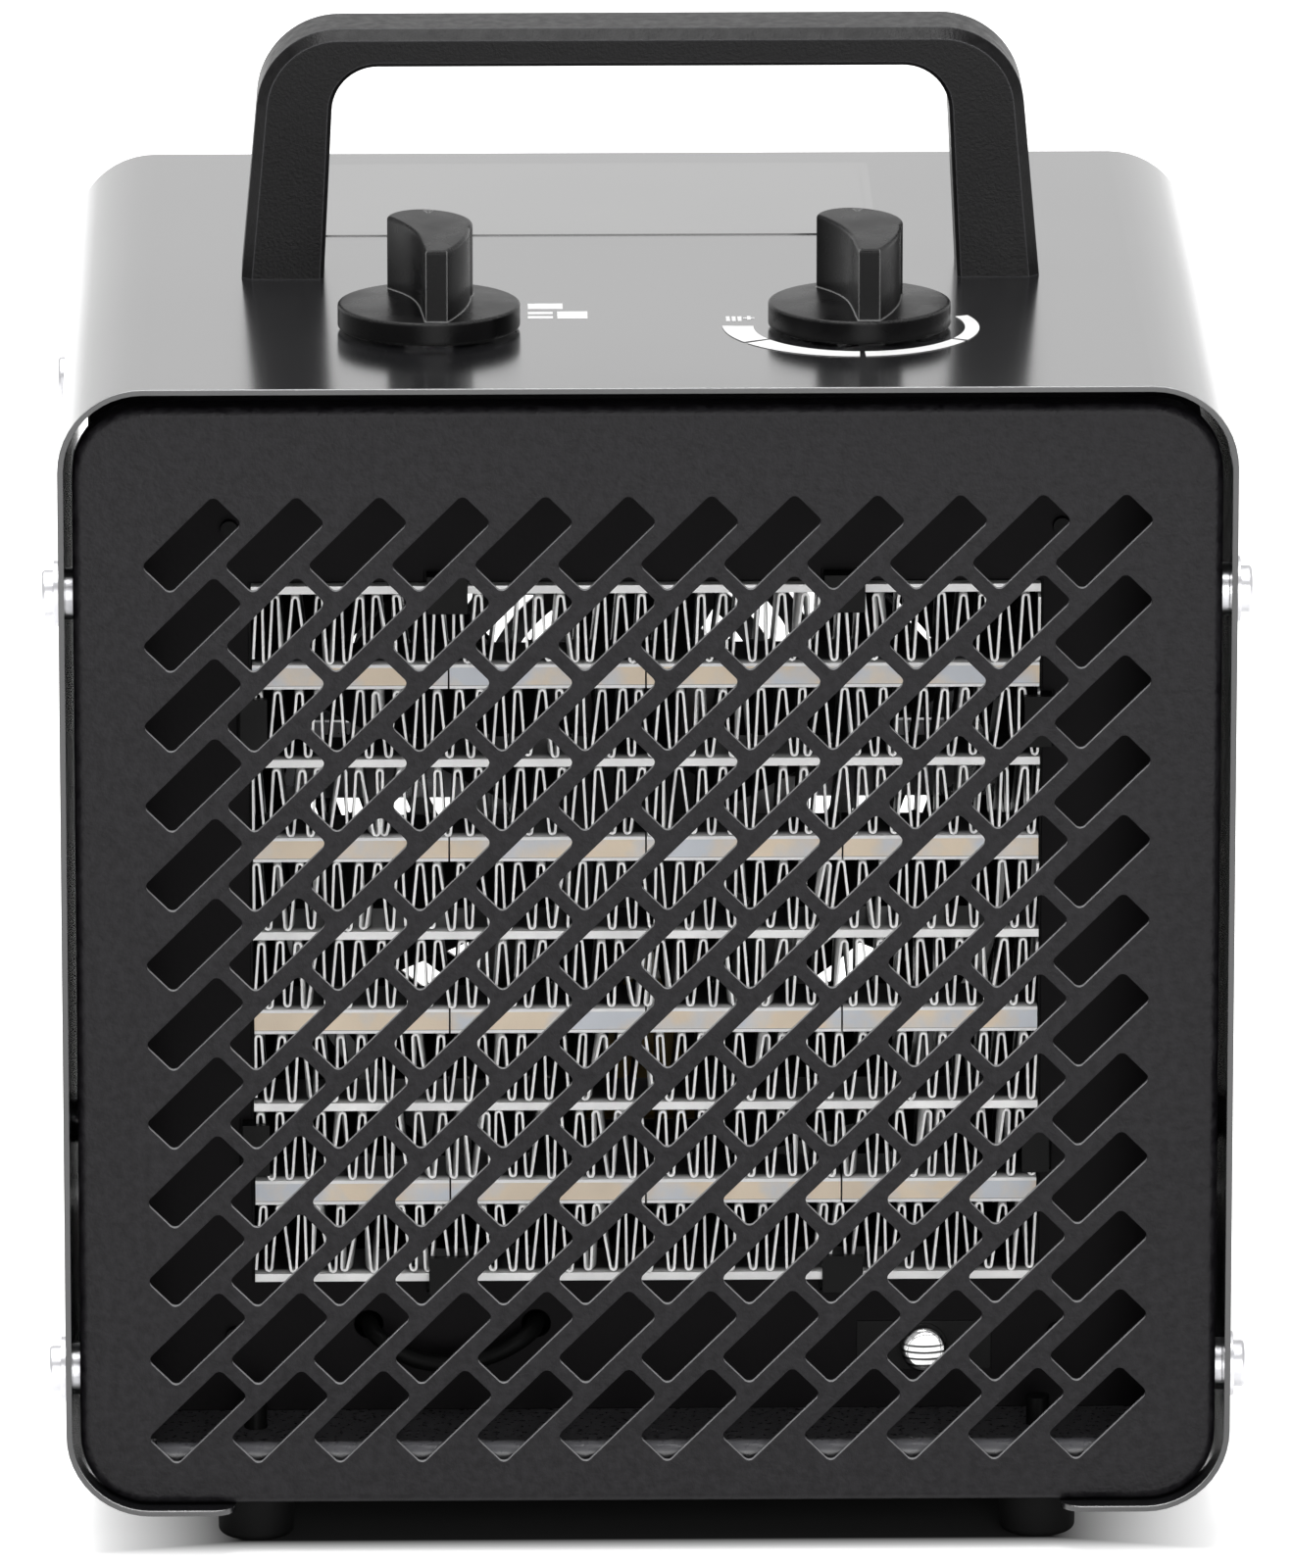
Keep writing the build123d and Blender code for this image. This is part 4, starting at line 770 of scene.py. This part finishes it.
def activate(piece: bpy.types.Object) -> None:
    """Select one object alone and make it active.

    Args:
        piece: The object.
    """
    deselect_all()
    piece.select_set(True)
    bpy.context.view_layer.objects.active = piece


def apply_place(piece: bpy.types.Object) -> None:
    """Move an object's place, turn and scale into its mesh.

    Args:
        piece: The object.
    """
    activate(piece)
    bpy.ops.object.transform_apply(location=True, rotation=True, scale=True)


def join_all(pieces: list[bpy.types.Object]) -> bpy.types.Object:
    """Join objects into the first one.

    Args:
        pieces: The objects to join.

    Returns:
        The joined object.
    """
    activate(pieces[0])
    for piece in pieces[1:]:
        piece.select_set(True)
    bpy.ops.object.join()
    return pieces[0]


def thicken(piece: bpy.types.Object, thickness: float, offset: float) -> None:
    """Give a sheet its thickness and apply it.

    Args:
        piece: The sheet.
        thickness: How thick it gets.
        offset: Which side it grows to, from -1 to 1.
    """
    activate(piece)
    solid = piece.modifiers.new("thickness", "SOLIDIFY")
    solid.thickness = thickness
    solid.offset = offset
    bpy.ops.object.modifier_apply(modifier=solid.name)


@dataclass
class FinCore:
    """The rows of folded fins between the ceramic bars."""

    workshop: Workshop
    half_length: float = 67.6 * MM
    front: float = -68.5 * MM
    depth: float = 15.0 * MM
    depth_shares: tuple[float, ...] = (0.0, 0.2, 0.6, 1.0)
    waves: int = 39
    sheet: float = 0.42 * MM
    strip_height: float = 12.5 * MM
    plate_pitch: float = 30.7 * MM
    bottom: float = 43.9 * MM
    bar: float = 4.3 * MM
    rows: int = 4
    steps_per_wave: int = 10
    crown_steps: int = 4
    crown_share: float = 0.58
    jitter: float = 0.42 * MM
    lift: float = 0.45 * MM
    bent_share: float = 0.2
    bend: float = 0.9 * MM
    first_seed: int = 40

    def fold(self, step: int, period: float, reach: float) -> tuple[float, float]:
        """Place one step of the fold: a slanted leg, a round crown, a leg and a crown.

        Args:
            step: The step's number along the strip.
            period: The length of one wave.
            reach: Half the height between the crowns' centre lines.

        Returns:
            Its place along the strip and its height from the strip's middle.
        """
        wave, place = divmod(step, self.steps_per_wave)
        quarter = period / 4
        radius = quarter * self.crown_share
        straight = reach - radius
        start = wave * period
        half = self.crown_steps + 1
        if 1 <= place <= half:
            turn = math.pi - (place - 1) * math.pi / self.crown_steps
            return (start + quarter + radius * math.cos(turn), straight + radius * math.sin(turn))
        if place == 0:
            return (start - quarter + radius, -straight)
        turn = math.pi + (place - half - 1) * math.pi / self.crown_steps
        return (start + 3 * quarter + radius * math.cos(turn), radius * math.sin(turn) - straight)

    def strip(self, bottom: float, dice: random.Random) -> bpy.types.Object:
        """Fold one strip from a flat grid into legs with round crowns.

        Args:
            bottom: The height that the strip stands on.
            dice: Where its unevenness comes from.

        Returns:
            The folded strip.
        """
        folds = self.steps_per_wave * self.waves + 1
        rows = len(self.depth_shares) - 1
        deselect_all()
        bpy.ops.mesh.primitive_grid_add(
            x_subdivisions=folds, y_subdivisions=rows, size=1.0, location=(0.0, 0.0, 0.0)
        )
        piece = bpy.context.object
        period = (2.0 * self.half_length - self.sheet) / self.waves
        middle = bottom + self.strip_height / 2
        reach = (self.strip_height - self.sheet) / 2
        crowns = 2 * self.waves + 2
        shifts = [dice.uniform(-self.jitter, self.jitter) for _ in range(crowns)]
        lifts = [dice.uniform(0.0, self.lift) for _ in range(crowns)]
        bends = [
            dice.uniform(-self.bend, self.bend) if dice.random() < self.bent_share else 0.0
            for _ in range(crowns)
        ]
        limit = self.half_length - self.sheet / 2
        for vertex in piece.data.vertices:
            step = round((vertex.co.x + 0.5) * folds)
            row = round((vertex.co.y + 0.5) * rows)
            along, rise = self.fold(step, period, reach)
            crown = (2 * step + self.steps_per_wave - 1) // self.steps_per_wave
            loose = shifts[crown] + (bends[crown] if row == 0 else 0.0)
            vertex.co.x = min(max(along - limit + loose, -limit), limit)
            vertex.co.y = self.front + self.depth * self.depth_shares[row]
            drop = lifts[crown] * rise / reach if row == 0 else 0.0
            vertex.co.z = middle + rise - drop
        thicken(piece, self.sheet, 0.0)
        return piece

    def build(self) -> None:
        """Fold all the strips and let each pair stand for its CAD node."""
        for row in range(self.rows):
            dice = random.Random(self.first_seed + row)
            lower = self.bottom + row * self.plate_pitch
            upper = lower + self.strip_height + self.bar
            pair = join_all([self.strip(lower, dice), self.strip(upper, dice)])
            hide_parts(f"fin_pair_{row + 1}")
            self.workshop.settle(pair, f"folded_fins_{row + 1}", FIN_SHEET, Slot.FINS)


@dataclass
class InnerLead:
    """One sleeved lead inside the case, along a given route."""

    workshop: Workshop
    name: str
    node: str
    length: float
    route: list[Place] = field(default_factory=list)
    diameter: float = 3.0 * MM
    order: int = 3
    round_steps: int = 5
    curve_steps: int = 10

    def build(self) -> None:
        curve = bpy.data.curves.new(self.name, "CURVE")
        curve.dimensions = "3D"
        curve.bevel_depth = self.diameter / 2
        curve.bevel_resolution = self.round_steps
        curve.use_fill_caps = True
        spline = curve.splines.new("NURBS")
        spline.points.add(len(self.route) - 1)
        for point, (x, y, z) in zip(spline.points, self.route):
            point.co = (x * MM, y * MM, z * MM, 1.0)
        spline.order_u = self.order
        spline.use_endpoint_u = True
        spline.resolution_u = self.curve_steps
        piece = bpy.data.objects.new(self.name, curve)
        bpy.context.scene.collection.objects.link(piece)
        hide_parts(self.node)
        self.workshop.settle(piece, self.name, LEAD_SLEEVE, Slot.LEAD)


ELEMENT_LEAD_LENGTH = 165.2 * MM
ELEMENT_ROUTE = [
    (-83.8, -61.0, 42.8),
    (-83.8, -61.0, 37.2),
    (-81.8, -57.0, 32.2),
    (-60.0, -56.5, 35.3),
    (-48.0, -62.0, 34.3),
    (-47.5, -71.5, 33.8),
    (-39.5, -71.5, 28.3),
    (-28.5, -71.5, 28.7),
    (-19.5, -71.5, 33.8),
    (-19.0, -62.0, 34.3),
    (-7.0, -58.0, 32.3),
    (36.2, -49.0, 31.0),
    (48.2, -50.0, 30.0),
    (48.2, -57.0, 30.0),
]
SUPPLY_LEAD_LENGTH = 345.0 * MM
SUPPLY_ROUTE = [
    (78.0, 46.0, 24.8),
    (78.0, 46.0, 49.8),
    (85.0, 47.0, 73.8),
    (88.0, 46.0, 112.6),
    (88.5, 41.0, 150.6),
    (88.0, 24.0, 176.0),
    (88.0, 2.0, 185.5),
    (88.0, -24.0, 185.5),
    (80.0, -38.0, 183.0),
    (56.9, -44.0, 179.0),
    (20.9, -41.0, 170.0),
    (-9.9, -42.0, 160.0),
    (-28.9, -50.0, 161.5),
    (-28.9, -50.0, 173.5),
]


Bar = tuple[float, float, float, float]
PLUS_BARS: tuple[Bar, ...] = (
    (0.0, 0.0, 2.0, 0.6),
    (0.0, 0.8, 0.6, 1.0),
    (0.0, -0.8, 0.6, 1.0),
    (-3.6, -0.5, 0.65, 3.4),
    (-2.6, -0.5, 0.65, 3.4),
    (-1.6, -0.5, 0.65, 3.4),
)
SWITCH_BARS: tuple[Bar, ...] = (
    (-16.8, -34.0, 6.0, 4.0),
    (-17.7, -39.0, 4.3, 1.7),
    (-17.7, -42.1, 4.3, 1.7),
    (-12.2, -40.5, 5.2, 5.2),
)


@dataclass
class DialPrint:
    """White printing on the top: the thermostat's widening scale and the switch's marks."""

    workshop: Workshop
    top: float = 207.5 * MM
    ink: float = 0.06 * MM
    centre_x: float = 36.9 * MM
    centre_y: float = -50.0 * MM
    inner: float = 18.15 * MM
    outer_start: float = 20.5 * MM
    outer_gain: float = 3.0 * MM
    start: float = 113.0
    end: float = -92.0
    widening: float = 1.6
    gap_angles: tuple[float, ...] = (60.0, 0.0, -60.0)
    gap: float = 0.85 * MM
    steps: int = 84
    plus_x: float = -18.8 * MM
    plus_y: float = 6.8 * MM
    bar_rounding: float = 0.35
    bar_segments: int = 3

    def outer(self, angle: float) -> float:
        """Return the scale's outer radius at an angle.

        Args:
            angle: Degrees from the front, positive to the right.

        Returns:
            The radius in metres.
        """
        share = (self.start - angle) / (self.start - self.end)
        return self.outer_start + self.outer_gain * max(0.0, share) ** self.widening

    def sector(self, first: float, last: float) -> bpy.types.Object:
        """Print one stretch of the scale.

        Args:
            first: Its first angle in degrees.
            last: Its last angle in degrees.

        Returns:
            The printed stretch.
        """
        count = max(2, round(self.steps * abs(last - first) / (self.start - self.end)))
        deselect_all()
        bpy.ops.mesh.primitive_grid_add(x_subdivisions=count, y_subdivisions=1, size=1.0)
        piece = bpy.context.object
        for vertex in piece.data.vertices:
            angle = first + (last - first) * (vertex.co.x + 0.5)
            radius = self.inner if vertex.co.y > 0 else self.outer(angle)
            turn = math.radians(angle)
            vertex.co = Vector(
                (
                    self.centre_x + radius * math.sin(turn),
                    self.centre_y - radius * math.cos(turn),
                    self.top + self.ink,
                )
            )
        thicken(piece, self.ink, -1.0)
        return piece

    def bar(self, x: float, y: float, width: float, depth: float) -> bpy.types.Object:
        """Print one bar with rounded ends.

        Args:
            x: Its centre across the case.
            y: Its centre along the case.
            width: Its size across.
            depth: Its size along.

        Returns:
            The printed bar.
        """
        deselect_all()
        bpy.ops.mesh.primitive_cube_add(size=1.0, location=(x, y, self.top + self.ink / 2))
        piece = bpy.context.object
        piece.scale = (width, depth, self.ink)
        apply_place(piece)
        bpy.ops.object.mode_set(mode="EDIT")
        bpy.ops.mesh.select_all(action="DESELECT")
        mesh = bmesh.from_edit_mesh(piece.data)
        for edge in mesh.edges:
            edge.select = abs(edge.verts[0].co.z - edge.verts[1].co.z) > self.ink / 2
        bmesh.update_edit_mesh(piece.data)
        bpy.ops.mesh.bevel(offset=min(width, depth) * self.bar_rounding, segments=self.bar_segments)
        bpy.ops.object.mode_set(mode="OBJECT")
        return piece

    def mark(self, name: str, bars: tuple[Bar, ...], x: float, y: float) -> None:
        """Print bars as one piece.

        Args:
            name: The piece's name.
            bars: Each bar's place and size in millimetres.
            x: Where the bars are measured from, across the case.
            y: The same along the case.
        """
        printed = [
            self.bar(x + across * MM, y + along * MM, width * MM, depth * MM)
            for across, along, width, depth in bars
        ]
        self.workshop.settle(join_all(printed), name, WHITE_INK, Slot.PRINT)

    def build(self) -> None:
        """Print the scale, the marks at its end and the switch's bars."""
        half_gap = math.degrees(self.gap / 2 / self.inner)
        edges = [self.start]
        for angle in self.gap_angles:
            edges += [angle + half_gap, angle - half_gap]
        edges.append(self.end)
        stretches = [self.sector(edges[i], edges[i + 1]) for i in range(0, len(edges), 2)]
        self.workshop.settle(join_all(stretches), "thermostat_scale", WHITE_INK, Slot.PRINT)
        self.mark("scale_plus_mark", PLUS_BARS, self.centre_x + self.plus_x, self.centre_y + self.plus_y)
        self.mark("switch_marks", SWITCH_BARS, 0.0, 0.0)


@dataclass(frozen=True)
class Lamp:
    """One soft square lamp: its place, its side in metres and its power in watts."""

    name: str
    place: Place
    size: float
    power: float


LAMPS = (
    Lamp("key_lamp", (-0.5, 0.9, 2.2), 1.6, 20.0),
    Lamp("top_lamp", (-0.15, -0.4, 1.8), 0.9, 26.0),
    Lamp("fill_lamp", (0.3, -2.2, 0.5), 1.2, 23.0),
)


@dataclass
class Studio:
    """Pale floor, soft light and the camera at the photograph's angle."""

    camera_place: Place = (-0.0449, -2.7373, 0.8537)
    yaw: float = 0.964
    pitch: float = 15.141
    lens: float = 369.85
    sensor: float = 36.0
    sight: float = 100.0
    floor_size: float = 14.0
    floor_height: float = -0.2 * MM
    floor_roughness: float = 0.9
    floor_specular: float = 0.1
    floor_colour: Colour = (0.84, 0.84, 0.84)
    # Colour of the painted shadow under the case.
    shade_colour: Colour = (0.03, 0.03, 0.03)
    shade_half_width: float = 76.0 * MM
    shade_half_depth: float = 82.8 * MM
    side_fade: Range = (-6.0 * MM, 26.0 * MM)
    front_fade: Range = (-1.0 * MM, 7.0 * MM)
    floor_lift: float = 0.8
    sky_light: float = 0.36
    dim_front: float = 0.72
    dim_range: Range = (-0.9, -0.3)
    aim: Place = (0.0, 0.0, 0.12)

    def floor(self) -> None:
        """Lay the floor, which keeps the shadow, has a painted shadow under the case and turns white for
        the camera.
        """
        deselect_all()
        bpy.ops.mesh.primitive_plane_add(size=self.floor_size, location=(0.0, 0.0, self.floor_height))
        slab = bpy.context.object
        slab.name = "studio_floor"
        apply_place(slab)
        material = bpy.data.materials.new("studio_paper")
        material.use_nodes = True
        board = Board(material.node_tree)
        shader = material.node_tree.nodes["Principled BSDF"]
        across, depth, _ = board.place()
        # Painted shadow: a dark rectangle under the case that fades out at its sides and front.
        beside = board.math("SUBTRACT", board.math("ABSOLUTE", across), self.shade_half_width)
        beyond = board.math("SUBTRACT", board.math("ABSOLUTE", depth), self.shade_half_depth)
        aside = board.ramp(beside, *self.side_fade)
        clear = board.math("MAXIMUM", aside, board.ramp(beyond, *self.front_fade))
        board.feed(shader, "Base Color", board.mix(clear, self.shade_colour, self.floor_colour))
        board.feed(shader, "Roughness", self.floor_roughness)
        board.feed(shader, "Specular IOR Level", self.floor_specular)
        glow = board.node("ShaderNodeEmission")
        path = board.node("ShaderNodeLightPath")
        seen = board.math("MAXIMUM", path.outputs["Is Camera Ray"], path.outputs["Is Glossy Ray"])
        board.feed(glow, "Strength", board.math("MULTIPLY", board.all_of(seen, clear), self.floor_lift))
        both = board.node("ShaderNodeAddShader")
        board.feed(both, 0, shader.outputs[0])
        board.feed(both, 1, glow.outputs[0])
        board.feed(material.node_tree.nodes["Material Output"], "Surface", both.outputs[0])
        slab.data.materials.append(material)

    def sky(self) -> None:
        """Light the object evenly, and show pure white where rays look for it."""
        world = bpy.data.worlds.new("studio_sky")
        world.use_nodes = True
        bpy.context.scene.world = world
        board = Board(world.node_tree)
        backdrop = world.node_tree.nodes["Background"]
        path = board.node("ShaderNodeLightPath")
        seen = board.math("MAXIMUM", path.outputs["Is Camera Ray"], path.outputs["Is Glossy Ray"])
        seen = board.math("MAXIMUM", seen, path.outputs["Is Transmission Ray"])
        board.feed(backdrop, "Color", (1.0, 1.0, 1.0, 1.0))
        _, lengthways, _ = board.split(board.node("ShaderNodeTexCoord").outputs["Generated"])
        room = board.ramp(lengthways, *self.dim_range, (1.0 - self.dim_front, 0.0))
        dimmed = board.math("MULTIPLY", room, path.outputs["Is Glossy Ray"])
        bright = board.ramp(seen, 0.0, 1.0, (self.sky_light, 1.0))
        board.feed(backdrop, "Strength", board.math("SUBTRACT", bright, dimmed))

    def hang(self, lamp: Lamp) -> None:
        """Hang one soft lamp that points at the object.

        Args:
            lamp: The lamp to hang.
        """
        light = bpy.data.lights.new(lamp.name, "AREA")
        light.size = lamp.size
        light.energy = lamp.power
        hung = bpy.data.objects.new(lamp.name, light)
        hung.location = lamp.place
        towards = Vector(self.aim) - Vector(lamp.place)
        hung.rotation_euler = towards.to_track_quat("-Z", "Y").to_euler()
        bpy.context.scene.collection.objects.link(hung)

    def camera(self) -> None:
        """Stand the camera where the photograph was taken from."""
        eye = bpy.data.cameras.new("photo_camera")
        eye.lens = self.lens
        eye.sensor_width = self.sensor
        eye.clip_end = self.sight
        stand = bpy.data.objects.new("photo_camera", eye)
        stand.location = self.camera_place
        stand.rotation_euler = (math.radians(90.0 - self.pitch), 0.0, math.radians(-self.yaw))
        bpy.context.scene.collection.objects.link(stand)
        bpy.context.scene.camera = stand

    def build(self) -> None:
        """Set up floor, sky, lamps and camera."""
        bpy.context.scene.view_settings.view_transform = "Standard"
        self.floor()
        self.sky()
        for lamp in LAMPS:
            self.hang(lamp)
        self.camera()


def dress_nodes(workshop: Workshop) -> None:
    """Give every CAD node that still shows its own finish.

    Args:
        workshop: Where the materials are kept.
    """
    for name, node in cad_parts.items():
        matches = [key for key in NODE_FINISHES if name.startswith(key)]
        finish = NODE_FINISHES[max(matches, key=len)] if matches else ZINC
        material = workshop.material(finish)
        if node.material_slots:
            for slot in node.material_slots:
                slot.material = material
        else:
            node.data.materials.append(material)
        LOG.info("node %s in %s", name, finish.name)


def main() -> None:
    """Build the studio and every piece of the heater."""
    logging.basicConfig(level=logging.INFO, format="%(name)s: %(message)s")
    workshop = Workshop()
    Studio().build()
    InnerLead(
        workshop, "element_lead_sleeve", "element_lead", ELEMENT_LEAD_LENGTH, ELEMENT_ROUTE
    ).build()
    InnerLead(workshop, "supply_lead_sleeve", "supply_lead", SUPPLY_LEAD_LENGTH, SUPPLY_ROUTE).build()
    dress_nodes(workshop)
    FinCore(workshop).build()
    DialPrint(workshop).build()


if __name__ == "__main__":
    main()
